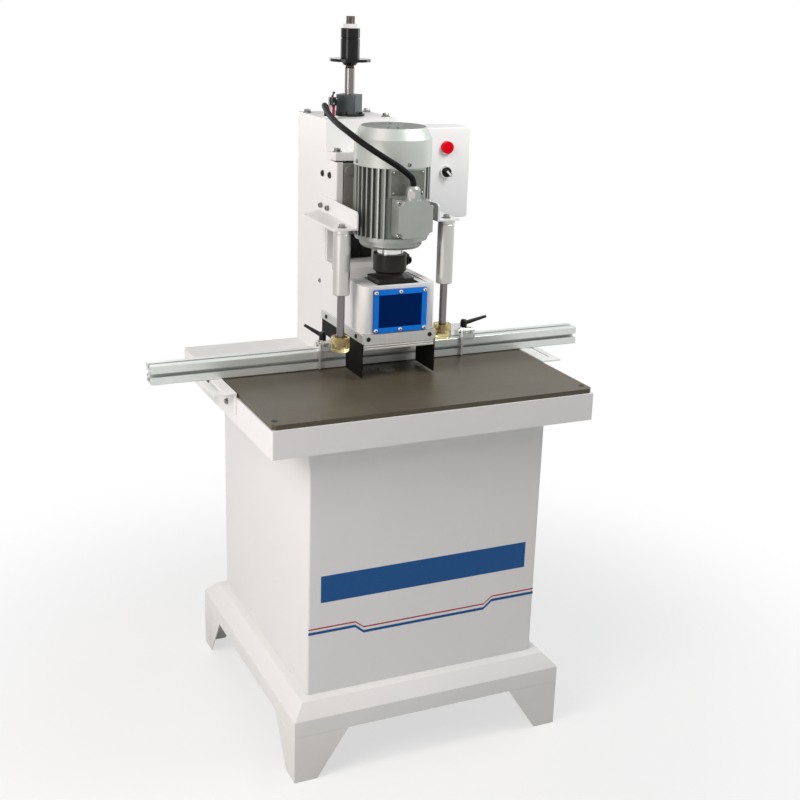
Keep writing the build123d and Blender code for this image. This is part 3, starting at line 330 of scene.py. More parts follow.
outer = add(tree, "ShaderNodeMath", {0: off["Y"], 1: off["Z"]}, operation="MAXIMUM")
# Slots: dust and oil plus painted shade, darker towards the slot floor.
inside = add(tree, "ShaderNodeMapRange",
             {"Value": outer.outputs[0], "From Min": SLOT_MOUTH * MM, "From Max": SLOT_FLOOR * MM,
              "To Max": SLOT_DIRT_AND_SHADE})
sawn = (high_corner.x - low_corner.x) / 2 - SAW_MARGIN * MM
between = add(tree, "ShaderNodeMath", {0: off["X"], 1: sawn}, operation="LESS_THAN")
slots = add(tree, "ShaderNodeMath", {0: inside.outputs[0], 1: between.outputs[0]},
            operation="MULTIPLY")
soiled_and_shaded = add(tree, "ShaderNodeMix", {0: slots.outputs[0], 6: tone.outputs[2], 7: linear("3E4644")},
             data_type="RGBA")
tree.links.new(soiled_and_shaded.outputs[2], shader.inputs["Base Color"])
print("made", extrusion.name, "for a bar", round(2 * sawn, 3), "m between its sawn ends")

# %% [markdown]
# ## Motor paint
# The motor's frame is die-cast aluminium sprayed with silver-grey enamel. Spray over a sand-like
# casting skin keeps a low grain. The gaps between the fins hold dust and lie in shade, so they are
# painted darker: dust and painted shade. Below the end bell the nose is turned bright, so the same
# material changes to bare metal under that height. The fan cowl is pressed sheet with the same
# spray: smoother and lighter, with painted shade darkening its flat crown. Painting faces one by one
# would do it too. Two measures do it faster: the height, and the distance from the motor's axis.

# %% Silver enamel on the casting
NOSE_TOP, FIN_ROOT, FIN_TIP, FIN_FOOT = 270.8, 71, 77, 296
# Metal flakes in a binder: it lights up broadly and never mirrors.
casting_silver, tree, shader, place = finish("silver_enamel_on_casting", "999C98", 0.4,
                                             Metallic=0.6)
skin = add(tree, "ShaderNodeTexNoise", {"Vector": place, "Scale": per_metre(2.2), "Detail": 4.0})
grain = add(tree, "ShaderNodeBump",
            {"Height": skin.outputs["Fac"], "Strength": 0.1, "Distance": 0.4 * MM})
tree.links.new(grain.outputs["Normal"], shader.inputs["Normal"])
cloud = add(tree, "ShaderNodeTexNoise", {"Vector": place, "Scale": per_metre(45), "Detail": 4.0})
enamel = add(tree, "ShaderNodeMix",
             {0: cloud.outputs["Fac"], 6: linear("939692"), 7: linear("A1A49F")}, data_type="RGBA")
axis = add(tree, "ShaderNodeVectorMath", {0: place, 1: at(0, 0, 0)}, operation="SUBTRACT")
flat = add(tree, "ShaderNodeVectorMath", {0: axis.outputs[0], 1: (1, 1, 0)}, operation="MULTIPLY")
reach = add(tree, "ShaderNodeVectorMath", {0: flat.outputs[0]}, operation="LENGTH").outputs["Value"]
height = add(tree, "ShaderNodeSeparateXYZ", {0: place}).outputs["Z"]
# Between the fins the enamel is painted darker towards the root: dust and painted shade.
deep = add(tree, "ShaderNodeMapRange",
           {"Value": reach, "From Min": FIN_TIP * MM, "From Max": FIN_ROOT * MM})
finned = add(tree, "ShaderNodeMath", {0: height, 1: (TABLE_HEIGHT + FIN_FOOT) * MM},
             operation="GREATER_THAN")
gap = add(tree, "ShaderNodeMath", {0: deep.outputs[0], 1: finned.outputs[0]}, operation="MULTIPLY")
painted_shade_tone = add(tree, "ShaderNodeMix", {0: gap.outputs[0], 6: enamel.outputs[2], 7: linear("686B67")},
            data_type="RGBA")
nose = add(tree, "ShaderNodeMath", {0: height, 1: (TABLE_HEIGHT + NOSE_TOP) * MM},
           operation="LESS_THAN").outputs[0]
metal = add(tree, "ShaderNodeMix", {0: nose, 6: painted_shade_tone.outputs[2], 7: linear("D5D6D6")},
            data_type="RGBA")
tree.links.new(metal.outputs[2], shader.inputs["Base Color"])
bare = add(tree, "ShaderNodeMapRange", {"Value": nose, "To Min": 0.6, "To Max": 1.0})
tree.links.new(bare.outputs[0], shader.inputs["Metallic"])
gloss = add(tree, "ShaderNodeMapRange", {"Value": nose, "To Min": 0.4, "To Max": 0.16})
tree.links.new(gloss.outputs[0], shader.inputs["Roughness"])
print("made", casting_silver.name, "with", FIN_TIP - FIN_ROOT, "mm deep gaps")

# %% Silver enamel on the cowl
CROWN = 514.6
# The same flakes on smooth sheet, with painted shade on its flat crown.
sheet_silver, tree, shader, place = finish("silver_enamel_on_sheet", "ADB1AD", 0.46, Metallic=0.55)
cloud = add(tree, "ShaderNodeTexNoise",
            {"Vector": place, "Scale": per_metre(45), "Detail": 4.0}).outputs["Fac"]
enamel = add(tree, "ShaderNodeMix", {0: cloud, 6: linear("A9ADA9"), 7: linear("B5B9B4")},
             data_type="RGBA")
height = add(tree, "ShaderNodeSeparateXYZ", {0: place}).outputs["Z"]
# The crown above this height is painted darker: painted shade on the top.
crown = add(tree, "ShaderNodeMath", {0: height, 1: (TABLE_HEIGHT + CROWN) * MM},
            operation="GREATER_THAN")
painted_shade_tone = add(tree, "ShaderNodeMix", {0: crown.outputs[0], 6: enamel.outputs[2], 7: linear("6C706D")},
            data_type="RGBA")
tree.links.new(painted_shade_tone.outputs[2], shader.inputs["Base Color"])
gloss = add(tree, "ShaderNodeMapRange", {"Value": cloud, "To Min": 0.42, "To Max": 0.54})
tree.links.new(gloss.outputs[0], shader.inputs["Roughness"])
print("made", sheet_silver.name)

# %% [markdown]
# ## Finishes that need one pattern
# The smaller parts have simpler finishes, but none is one flat colour: oxide mottles, plating clouds,
# drawn bars have lines. One noise pattern can carry that. It drifts the tone between two colours,
# varies the gloss or raises a low relief, whichever the finish has. Stretched along an axis, the
# same pattern turns into the lines of a drawn or ground bar. Pictures of paint would need files and
# would repeat, while noise keeps its real size on every part.

# %% A finish with one pattern


def clouded(name, code, roughness, size_mm, detail, tones=None, gloss=None, relief=None,
            ragged=0.5, **sockets):
    """A whole finish with a pattern of one size, or of three sizes where it is stretched.

    Tones are two hex colours, gloss is two values of roughness, and relief is a strength and a
    depth in millimetres.
    """
    material, tree, shader, place = finish(name, code, roughness, **sockets)
    scale = 1.0
    if isinstance(size_mm, tuple):
        sizes = [per_metre(size) for size in size_mm]
        place = add(tree, "ShaderNodeMapping", {"Vector": place, "Scale": sizes}).outputs[0]
    else:
        scale = per_metre(size_mm)
    pattern = add(tree, "ShaderNodeTexNoise", {"Vector": place, "Scale": scale, "Detail": detail,
                                               "Roughness": ragged}).outputs["Fac"]
    if tones:
        drift = add(tree, "ShaderNodeMix", {0: pattern, 6: linear(tones[0]), 7: linear(tones[1])},
                    data_type="RGBA")
        tree.links.new(drift.outputs[2], shader.inputs["Base Color"])
    if gloss:
        sheen = add(tree, "ShaderNodeMapRange",
                    {"Value": pattern, "To Min": gloss[0], "To Max": gloss[1]})
        tree.links.new(sheen.outputs[0], shader.inputs["Roughness"])
    if relief:
        skin = add(tree, "ShaderNodeBump",
                   {"Height": pattern, "Strength": relief[0], "Distance": relief[1] * MM})
        tree.links.new(skin.outputs["Normal"], shader.inputs["Normal"])
    return material


print("a 14 mm mottle repeats", round(per_metre(14)), "times in a metre")

# %% [markdown]
# ## Dark steels and grey paint
# The boring housing and the top flange are steel blacked in hot salts: a thin oxide that is nearly
# black, with a slight brown where hands rub it. The depth stop is turned smooth first, so it shines.
# A metal shader would mirror the white studio and turn grey, so the oxide is made as what it is, a
# dark layer with a weak shine. The stop block is painted a dark blue-grey and the plate behind the
# motor a plain mid grey.

# %% Blacked steel and grey paint
# Nearly black, uneven in gloss, brownish where it is worn.
blacked = clouded("blacked_steel", "1E1D1F", 0.36, 14, 6.0, tones=("171618", "2A2825"),
                  gloss=(0.28, 0.5), ragged=0.65, Specular_IOR_Level=0.18)
# Turned smooth before blacking: narrow, sharp highlights.
polished = clouded("blacked_steel_polished", "0C0B0D", 0.1, 8, 4.0, gloss=(0.08, 0.16),
                   Specular_IOR_Level=0.25)
# Brushed on thickly, so a low grain stays.
dark_grey = clouded("dark_grey_enamel", "3A4245", 0.4, 9, 5.0, tones=("323A3D", "3E4649"),
                    relief=(0.08, 0.3), Specular_IOR_Level=0.35)
# Plain workshop enamel, half matt.
grey_paint = clouded("grey_enamel_on_plate", "7A7974", 0.45, 12, 4.0, tones=("74736E", "82817B"),
                     Specular_IOR_Level=0.35)
print("made", blacked.name, polished.name, dark_grey.name, grey_paint.name)

# %% [markdown]
# ## Bright metals
# Piston rods are ground and hard-chromed, so they mirror the room with only the faintest rings from
# grinding. Cutters, gears and rails are ground tool steel, a little greyer and softer. Air cylinders
# and the bars under the dust box are drawn aluminium, satin anodised. Screws are zinc plated, which
# gives a cool, cloudy shine. The lock nut, the stop fingers, the panel's bezels and the small screws
# of the lids are nickel plated and brighter. The motor's own plate is etched aluminium.
# The rods stand upright, so a pattern squeezed in height alone makes their rings. Real rings and
# drawing lines are finer than a pixel. They are drawn about a millimetre apart, so that they show.

# %% Chrome, tool steel, aluminium, zinc and nickel
# A clean mirror: the rings show in its gloss and nowhere else.
chrome = clouded("hard_chrome_on_ground_bar", "7A7776", 0.12, (60, 60, 1.4), 2.0,
                 gloss=(0.07, 0.17), Metallic=1.0)
# Finer rings and a softer shine.
ground = clouded("ground_tool_steel", "9C9C9B", 0.28, (40, 40, 0.9), 3.0,
                 gloss=(0.2, 0.36), Metallic=1.0)
# Drawn upright: pale, with satin lines up and down.
tube_satin = clouded("anodised_cylinder_tube", "BDBDB9", 0.33, (1, 1, 120), 2.0,
                     tones=("B4B4B0", "C8C7C3"), gloss=(0.28, 0.44), Metallic=0.8)
# Mid grey, cloudy from the plating bath.
zinc = clouded("zinc_plated_steel", "858583", 0.28, 3, 4.0, gloss=(0.2, 0.38), Metallic=1.0)
# Nearly white, and clearer than zinc.
nickel = clouded("nickel_plated_steel", "DCDBD8", 0.2, 3, 4.0, gloss=(0.14, 0.26), Metallic=1.0)
# Etched grey, so it stands back from the bright frame.
rating_plate = clouded("etched_aluminium_plate", "6B6C65", 0.42, 3, 5.0,
                       tones=("5C5D56", "7A7B74"), Metallic=0.6)
print("made", chrome.name, ground.name, tube_satin.name, zinc.name, nickel.name, rating_plate.name)

# %% [markdown]
# ## Rubber, plastics and clear parts
# The skirts and the cable jacket are black rubber, the knob and levers moulded nylon, and the round
# insert under the cutter is grey nylon. The clamp feet are cast urethane, pale amber and half clear.
# The dust window is tinted blue acrylic sheet, and its colour is painted navy with the shade of the
# box's dark inside. Its shine is tinted too, since a white studio would veil so dark a sheet. The
# lamp's lens is moulded with small prisms inside. They could be modelled one by one, but cells of a
# Voronoi pattern stand for them.

# %% Rubber and plastics
# Matt black with a greyish bloom.
rubber = clouded("black_rubber", "100F0F", 0.6, 18, 5.0, tones=("0B0A0A", "161515"),
                 gloss=(0.45, 0.7), Specular_IOR_Level=0.08)
# The mould leaves a grain that softens highlights. Drawn 0.8 mm wide, coarser than real, to show.
black_nylon = clouded("moulded_nylon_black", "121213", 0.42, 0.8, 2.0, relief=(0.12, 0.2),
                      Specular_IOR_Level=0.2)
# The same grain, fainter to the eye on white.
white_nylon = clouded("moulded_nylon_white", "DEDEDA", 0.42, 0.8, 2.0, relief=(0.1, 0.2))
# Matt, with the faint swirl that cutters leave.
insert_grey = clouded("nylon_insert_grey", "98958C", 0.55, 4, 5.0, tones=("8E8B82", "A5A299"))
print("made", rubber.name, black_nylon.name, white_nylon.name, insert_grey.name)

# %% Clear and coloured resins
# Amber and half clear, with a haze that comes and goes.
urethane = clouded("cast_urethane_amber", "F0DE9E", 0.14, 12, 4.0, tones=("EAD284", "F7EAB8"),
                   gloss=(0.08, 0.26), IOR=1.49, Transmission_Weight=0.85)
# Blue tint darkened to navy by painted shade, glossy, with wiping marks.
acrylic = clouded("tinted_acrylic_blue", "02296A", 0.05, 25, 5.0, gloss=(0.02, 0.14), IOR=1.49,
                  Transmission_Weight=0.3, Specular_IOR_Level=0.03, Specular_Tint=linear("1C4C98"))
# Signal red, deeper between its prisms.
red_lens, tree, shader, place = finish("moulded_lens_red", "E40519", 0.2, IOR=1.5,
                                       Specular_IOR_Level=0.05)
ribs = add(tree, "ShaderNodeTexVoronoi",
           {"Vector": place, "Scale": per_metre(2.4)}).outputs["Distance"]
prism = add(tree, "ShaderNodeBump", {"Height": ribs, "Strength": 0.25, "Distance": 0.6 * MM})
tree.links.new(prism.outputs["Normal"], shader.inputs["Normal"])
glow = add(tree, "ShaderNodeMix", {0: ribs, 6: linear("E6061C"), 7: linear("BC0016")},
           data_type="RGBA")
tree.links.new(glow.outputs[2], shader.inputs["Base Color"])
print("made", urethane.name, acrylic.name, red_lens.name)

# %% [markdown]
# ## Films, a label and a lead sleeve
# The band and the two lines on the cabinet are cut from vinyl film, an even colour with a soft satin
# gloss and a faint texture where it follows the powder coat. The clamp cylinder carries a paper label
# and the limit switch a red PVC sleeve. The stud's rolled thread keeps oil, so it looks brownish.
# Each is a finish of its own and not a tint of the paint below, since film, paper and oil shine
# differently.

# %% Films, label, sleeve and thread
# Even and satin, with a little of the coat's ripple.
vinyl = {colour: clouded("vinyl_film_" + colour, pale, 0.4, 3, 3.0, tones=(pale, deep),
                         relief=(0.05, 0.3), Specular_IOR_Level=0.2)
         for colour, pale, deep in (("blue", "1A5A9A", "164E88"), ("red", "B93442", "A82B3A"))}
# Off-white and matt, with fibres.
label_paper = clouded("coated_label_paper", "DCDCD8", 0.5, 1.2, 4.0, tones=("E2E2DE", "D2D2CE"))
# Deep red, slightly worn.
red_pvc = clouded("pvc_sleeve_red", "9A142B", 0.4, 2, 3.0, tones=("A81830", "8A0F26"))
# Steel under a brown film.
oiled = clouded("oiled_rolled_thread", "6E6A60", 0.34, 6, 5.0, tones=("5C574C", "827E74"),
                Metallic=0.9)
# Painted light: the window's sheet lit through from the white paint right behind it, as a bright
# blue.
rim_painted_lit_blue = clouded("acrylic_rim_painted_lit", "087AE6", 0.08, 20, 4.0,
                   tones=("0775DE", "0A82F0"), Specular_IOR_Level=0.08)
print(len(bpy.data.materials), "materials")

# %% [markdown]
# ## Give every solid its finish
# The CAD solids keep their shape, and each one only gets its material. A list by finish is easier to
# check than sixty single lines, and the last line prints any solid that was forgotten.

# %% Assign finishes
FINISHES = {
    powder_white: "base_plinth corner_feet cabinet_shell rear_panel table_apron fence_bracket_* "
                  "column_shell clamp_bracket_* dust_box dust_duct control_box switch_bracket",
    laminate: "table_top",
    insert_grey: "backing_disc",
    extrusion: "fence_profile stop_base_*",
    tube_satin: "feed_cylinder clamp_cylinder_* skirt_frame front_strip",
    casting_silver: "motor_frame end_bell terminal_box cable_gland",
    sheet_silver: "fan_cowl",
    blacked: "boring_housing top_flange switch_lever",
    polished: "depth_stop",
    dark_grey: "top_block",
    chrome: "feed_rod clamp_rod_*",
    ground: "motor_shaft cup_bit side_spindle_* guide_rails bearing_blocks",
    grey_paint: "carriage_plate",
    nickel: "lock_nut stop_finger_* panel_bezels",
    rubber: "side_skirt_* motor_cable",
    urethane: "clamp_foot_*",
    acrylic: "dust_window",
    red_lens: "lamp_lens",
    black_nylon: "stop_lever_* selector_knob limit_switch",
    white_nylon: "cable_grommet",
}


def each(names):
    """The solids named in a line of words, where a star stands for left and right."""
    return [word.replace("*", side) for word in names.split()
            for side in (("left", "right") if "*" in word else ("",))]


dressed = []
for material, names in FINISHES.items():
    for name in each(names):
        nodes[name].data.materials.clear()
        nodes[name].data.materials.append(material)
        dressed.append(name)
print(len(dressed), "solids dressed; left over:", sorted(set(nodes) - set(dressed)))

# %% [markdown]
# ## Round the edges of folded and sawn parts
# No real edge is perfectly sharp, and the tiny round along it is what catches light. It could be cut
# into the solids, but a bevel leaves them as they are. The solids arrive as separate faces, which a
# bevel can't see across, so a weld joins them first. Turned parts have their chamfers already.

# %% Round the edges
WELD_DISTANCE, SHARP_EDGE = 0.01, radians(30)
EDGE_RADIUS = {
    1.2: "base_plinth table_apron",
    1.0: "table_top",
    0.8: "corner_feet cabinet_shell column_shell control_box clamp_bracket_* fence_bracket_* "
         "terminal_box carriage_plate",
    0.6: "dust_box top_block",
    0.5: "rear_panel skirt_frame",
    0.4: "front_strip",
}
for radius, names in EDGE_RADIUS.items():
    for name in each(names):
        joined = nodes[name].modifiers.new("join_faces", "WELD")
        joined.merge_threshold = WELD_DISTANCE * MM
        edge = nodes[name].modifiers.new("edge_round", "BEVEL")
        edge.width = radius * MM
        edge.segments = 2
        edge.limit_method = "ANGLE"
        edge.angle_limit = SHARP_EDGE
        edge.harden_normals = True
print(len(each(" ".join(EDGE_RADIUS.values()))), "solids with rounded edges")

# %% [markdown]
# ## Motor cable
# A black rubber cable, 12 mm thick, leaves the gland on the terminal box, goes over the motor's left
# shoulder and dives into a grommet on the column. A curve with a thickness would be the short way.
# When the head comes down the cable's lower end comes too. Here it is a mesh, a tube along its
# length. A curve still finds the smooth line for it.

# %% The cable's line
CABLE_ROUTE = [
    (0, -103, 408), (0, -103, 420), (-11, -105.5, 430), (-33, -110, 446), (-76, -110, 471),
    (-104, -85, 492), (-114, -35, 508), (-113, 25, 518), (-105, 85, 527), (-91, 145, 535),
    (-79, 185, 540), (-66, 200, 531), (-66, 200, 514),
]


def smooth_line(points):
    """Points read along a NURBS line that has these control points."""
    data = bpy.data.curves.new("route", "CURVE")
    data.dimensions = "3D"
    data.resolution_u = 12
    spline = data.splines.new("NURBS")
    spline.points.add(len(points) - 1)
    for control, point in zip(spline.points, points):
        control.co = (*point, 1)
    spline.order_u = 3
    spline.use_endpoint_u = True
    line = bpy.data.objects.new("route", data)
    bpy.context.collection.objects.link(line)
    bpy.context.view_layer.update()
    read = bpy.data.meshes.new_from_object(line)
    places = [vertex.co.copy() for vertex in read.vertices]
    bpy.data.objects.remove(line)
    return places


cable_path = smooth_line([at(*point) for point in CABLE_ROUTE])

# %% A tube along a line
CABLE_DIAMETER = 12


def bridge(mesh, first, second):
    """Joins two loops of equally many points by a band of faces, and returns the faces."""
    count = len(first)
    return [mesh.faces.new((first[i], first[(i + 1) % count], second[(i + 1) % count], second[i]))
            for i in range(count)]


def tube(name, path, radius, sides=20):
    """A round tube along a path, with closed ends and rings that don't twist."""
    mesh = bmesh.new()
    across = Vector((1, 0, 0))
    angles = [2 * pi * side / sides for side in range(sides)]
    rings = []
    for i, point in enumerate(path):
        heading = (path[min(i + 1, len(path) - 1)] - path[max(i - 1, 0)]).normalized()
        across = (across - heading * across.dot(heading)).normalized()
        other = heading.cross(across)
        rings.append([mesh.verts.new(point + (across * cos(a) + other * sin(a)) * radius)
                      for a in angles])
    for first, second in zip(rings, rings[1:]):
        bridge(mesh, first, second)
    mesh.faces.new(rings[0][::-1])
    mesh.faces.new(rings[-1])
    data = bpy.data.meshes.new(name)
    bmesh.ops.recalc_face_normals(mesh, faces=mesh.faces)
    for face in mesh.faces:
        face.smooth = len(face.verts) == 4
    mesh.to_mesh(data)
    made = bpy.data.objects.new(name, data)
    bpy.context.collection.objects.link(made)
    return made


cable = tube("motor_cable_jacket", cable_path, CABLE_DIAMETER / 2 * MM)
cable.data.materials.append(rubber)
print("cable jacket of", len(cable.data.polygons), "faces")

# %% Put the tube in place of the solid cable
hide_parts("motor_cable")
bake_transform(cable)

# %% [markdown]
# ## Forms stacked from rings
# Screws, nuts, rivets and rods are rings stacked along an axis. If a ring may also be a hexagon, one
# function makes a hex head, a washer or the socket inside a cap screw. Drawing the rings in code is
# surer than cutting solids from each other: every face is where it was put.

# %% Stack rings and make a piece
SIDES = 36
SMOOTH_BELOW = radians(32)


def stack(mesh, rings, foot, axis=(0, 0, 1)):
    """Adds a closed form to a mesh from rings of (radius, height, corners) in millimetres.

    Returns its faces, the foot first and the top last.
    """
    pose = Matrix.Translation(foot) @ Vector(axis).to_track_quat("Z", "X").to_matrix().to_4x4()
    loops = []
    for radius, height, corners in rings:
        loop = []
        for i in range(SIDES):
            angle = 2 * pi * i / SIDES
            reach = radius
            if corners:
                wedge = 2 * pi / corners
                reach = radius * cos(wedge / 2) / cos(angle % wedge - wedge / 2)
            point = Vector((reach * cos(angle), reach * sin(angle), height)) * MM
            loop.append(mesh.verts.new(pose @ point))
        loops.append(loop)
    faces = [mesh.faces.new(loops[0][::-1])]
    for lower, upper in zip(loops, loops[1:]):
        faces += bridge(mesh, lower, upper)
    faces.append(mesh.faces.new(loops[-1]))
    return faces


def piece(name, mesh, material, body):
    """Turns a mesh under construction into a piece that rides on a body."""
    data = bpy.data.meshes.new(name)
    bmesh.ops.recalc_face_normals(mesh, faces=mesh.faces)
    mesh.to_mesh(data)
    mesh.free()
    data.shade_smooth()
    data.set_sharp_from_angle(angle=SMOOTH_BELOW)
    data.materials.append(material)
    made = bpy.data.objects.new(name, data)
    bpy.context.collection.objects.link(made)
    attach(made, body)
    return made


print("rings of", SIDES, "points")

# %% [markdown]
# ## Screws and bolts
# Four kinds hold this machine together. Each is a short list of rings for a thread of one millimetre,
# scaled to the real size: the proportions of standard heads hardly change from one size to the next.
# A hex socket fills with oil and dust and lies in shade, so its walls and its floor are painted dark:
# dirt and painted shade.

# %% Kinds of screw
HEX_BOLT = [(1.15, 0, 0), (1.15, 0.17, 0), (0.92, 0.17, 6), (0.92, 0.8, 6), (0.76, 0.92, 0),
            (0.3, 0.92, 0)]
CAP_SCREW = [(0.8, 0, 0), (0.8, 0.86, 0), (0.72, 1, 0), (0.48, 1, 6), (0.46, 0.5, 6)]
BUTTON_SCREW = [(0.88, 0, 0), (0.86, 0.16, 0), (0.72, 0.4, 0), (0.46, 0.52, 0), (0.36, 0.52, 6),
                (0.34, 0.2, 6)]
FLUSH_SCREW = [(0.9, 0, 0), (0.9, 0.06, 0), (0.84, 0.1, 0), (0.42, 0.1, 6), (0.4, 0.03, 6)]


def screws(name, kind, size, spots, material, body, slot):
    """One mesh of several screws. Spots are pairs: a place and the way the head faces."""
    mesh = bmesh.new()
    rings = [(radius * size, height * size, corners) for radius, height, corners in kind]
    has_socket = kind[-1][2] == 6
    for place, facing in spots:
        faces = stack(mesh, rings, at(*place), facing)
        # Socket walls and floor take the blacked finish: dirt and painted shade.
        for face in faces[-SIDES - 1:] if has_socket else []:
            face.material_index = 1
    made = piece(name, mesh, material, body)
    if has_socket:
        made.data.materials.append(blacked)
    return made


LEFT, RIGHT, FRONT, BACK = (-1, 0, 0), (1, 0, 0), (0, -1, 0), (0, 1, 0)
UP, DOWN = (0, 0, 1), (0, 0, -1)
OUTWARD = ((-1, LEFT), (1, RIGHT))
ZINC_FIXED = (zinc, "machine", "tool_steel")
BLACK_FIXED = (blacked, "machine", "black_steel")
print("an M8 hex head is", round(2 * HEX_BOLT[2][0] * 8, 1), "mm over its corners")

# %% Screws on the stand and the fence brackets
screws("table_screws", FLUSH_SCREW, 7,
       [((side * 338, -240, 0), UP) for side in (-1, 1)], *BLACK_FIXED)
screws("fence_bracket_bolts", HEX_BOLT, 6,
       [((side * 357, -2, -32), facing) for side, facing in OUTWARD], *ZINC_FIXED)
print("screws on the stand")

# %% Screws on the column and the clamps
COLUMN_SIDE, BRACKET_SIDE = 80.5, 84.5
CLAMP_X, CLAMP_Y = 117.5, -21
CLAMP_RISE = {-1: 0, 1: 9}  # the right clamp sits higher
ROD_Y, FLANGE_CIRCLE = 237, 28
screws("column_top_bolts", HEX_BOLT, 8.5,
       [((x, y, 511), UP) for x, y in ((-71, 305), (71, 305), (71, 199))], *ZINC_FIXED)
screws("shelf_bolts", HEX_BOLT, 8.5, [((side * 62, 148, 445), UP) for side in (-1, 1)], *ZINC_FIXED)
screws("cheek_screws", BUTTON_SCREW, 8,
       [((side * COLUMN_SIDE, y, z), facing) for side, facing in OUTWARD
        for y, z in ((142.7, 397.1), (183.7, 395.5))], *BLACK_FIXED)
screws("column_side_screws", BUTTON_SCREW, 6,
       [((side * COLUMN_SIDE, 195, 158), facing) for side, facing in OUTWARD], *ZINC_FIXED)
screws("clamp_bracket_bolts", CAP_SCREW, 7,
       [((side * BRACKET_SIDE, y, 328 + CLAMP_RISE[side]), facing) for side, facing in OUTWARD
        for y in (139, 178)], *ZINC_FIXED)
screws("clamp_ledge_bolts", HEX_BOLT, 8,
       [((side * CLAMP_X, CLAMP_Y, 316 + CLAMP_RISE[side]), UP) for side in (-1, 1)], *ZINC_FIXED)
flange_turns = [radians(45 + 90 * quarter) for quarter in range(4)]
screws("top_flange_screws", CAP_SCREW, 5,
       [((FLANGE_CIRCLE * cos(a), ROD_Y + FLANGE_CIRCLE * sin(a), 515), UP)
        for a in flange_turns], *BLACK_FIXED)
print("screws on the column and the clamps")

# %% Screws on the dust box and the rear panel
FRAME_MIDDLE = 87.5
screws("skirt_frame_screws", BUTTON_SCREW, 5.5,
       [((x, -58.5, FRAME_MIDDLE), FRONT) for x in (-70, 70)]
       + [((side * 84, y, FRAME_MIDDLE), facing) for side, facing in OUTWARD
          for y in (-25, 60, 145)], *BLACK_FIXED)
screws("rear_panel_screws", BUTTON_SCREW, 7,
       [((side * 198, 333.5, z), BACK) for side in (-1, 1) for z in (-549, -340, -130)], *ZINC_FIXED)
print("screws on the dust box and the rear panel")

# %% Screws on the fence and the head
SHANK = [(0.5, -0.7, 0), (0.5, 0, 0)]
COWL_RADIUS, COWL_START = 79.4, -88.6
screws("fence_slot_bolts", SHANK + HEX_BOLT, 8,
       [((side * 382, 65, -3.1), DOWN) for side in (-1, 1)],
       zinc, "fence", "tool_steel")
cowl_turns = [radians(COWL_START + 90 * quarter) for quarter in range(4)]
screws("cowl_screws", BUTTON_SCREW, 5,
       [((COWL_RADIUS * cos(a), COWL_RADIUS * sin(a), 446), (cos(a), sin(a), 0))
        for a in cowl_turns],
       zinc, "head", "tool_steel")
screws("terminal_lid_screws", CAP_SCREW, 3.7,
       [((side * 32.6, -106, z), FRONT) for side in (-1, 1) for z in (310.9, 376.1)],
       nickel, "head", "tool_steel")
screws("collar_clamp_bolt", CAP_SCREW, 10, [((37.9, 1.6, 236.5), (0.485, -0.875, 0))],
       blacked, "head", "black_steel")
print("screws on the fence and the head")

# %% [markdown]
# ## Feed rod with its thread
# The rod that lifts the head ends in a threaded stud for the depth stop. A rolled thread is a ridge
# that climbs one pitch per turn. In rings it needs no helix curve: each point's radius depends on its
# height and its angle together, and the ridge winds up by itself.

# %% Threaded feed rod
THREAD_PITCH, CREST, ROOT = 2.5, 10, 8.9
STUD_FOOT, STUD_LENGTH, STEPS_PER_TURN = 612, 107, 6
ROD_RINGS = [(11, 285, 0), (11, 462, 0), (24.95, 462, 0), (24.95, 478, 0), (11, 478, 0),
             (11, 611, 0), (CREST, STUD_FOOT, 0)]
mesh = bmesh.new()
stack(mesh, ROD_RINGS, at(0, ROD_Y, 0))
plain_faces = len(mesh.faces)
loops = []
for level in range(int(STUD_LENGTH / THREAD_PITCH * STEPS_PER_TURN) + 1):
    climb = level * THREAD_PITCH / STEPS_PER_TURN
    loop = []
    for i in range(SIDES):
        phase = (climb / THREAD_PITCH - i / SIDES) % 1
        radius = ROOT + (CREST - ROOT) * (1 - abs(2 * phase - 1))
        angle = 2 * pi * i / SIDES
        spot = at(radius * cos(angle), ROD_Y + radius * sin(angle), STUD_FOOT + climb)
        loop.append(mesh.verts.new(spot))
    loops.append(loop)
mesh.faces.new(loops[0][::-1])
for lower, upper in zip(loops, loops[1:]):
    bridge(mesh, lower, upper)
mesh.faces.new(loops[-1])
mesh.faces.ensure_lookup_table()
for face in mesh.faces[plain_faces:]:
    face.material_index = 1
rod = piece("feed_rod_threaded", mesh, chrome, "head")
rod.data.materials.append(oiled)
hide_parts("feed_rod")
print("feed rod with", round(STUD_LENGTH / THREAD_PITCH), "turns of thread")

# %% [markdown]
# ## Thin flat pieces
# Film, plates and rims are an outline and the same outline a little way off, joined round the edge.
# A rounded outline has the same number of points at any size, so two also bridge into a rim.

# %% Outline helpers
CORNER_POINTS = 6


def rounded(width, height, radius, middle=(0, 0)):
    """Points of a rectangle with rounded corners, anticlockwise."""
    points = []
    for across, along, start in ((1, 1, 0), (-1, 1, 90), (-1, -1, 180), (1, -1, 270)):
        for step in range(CORNER_POINTS):
            turn = radians(start + 90 / (CORNER_POINTS - 1) * step)
            points.append((middle[0] + across * (width / 2 - radius) + radius * cos(turn),
                           middle[1] + along * (height / 2 - radius) + radius * sin(turn)))
    return points


def front_sheet(name, points, y, thickness, material, body):
    """A closed sheet that faces the operator: points are (x, z), and y is the face it lies on."""
    mesh = bmesh.new()
    lift = Vector((0, -thickness * MM, 0))
    low = [mesh.verts.new(at(x, y, z)) for x, z in points]
    high = [mesh.verts.new(at(x, y, z) + lift) for x, z in points]
    mesh.faces.new(low[::-1])
    mesh.faces.new(high)
    bridge(mesh, low, high)
    return piece(name, mesh, material, body)


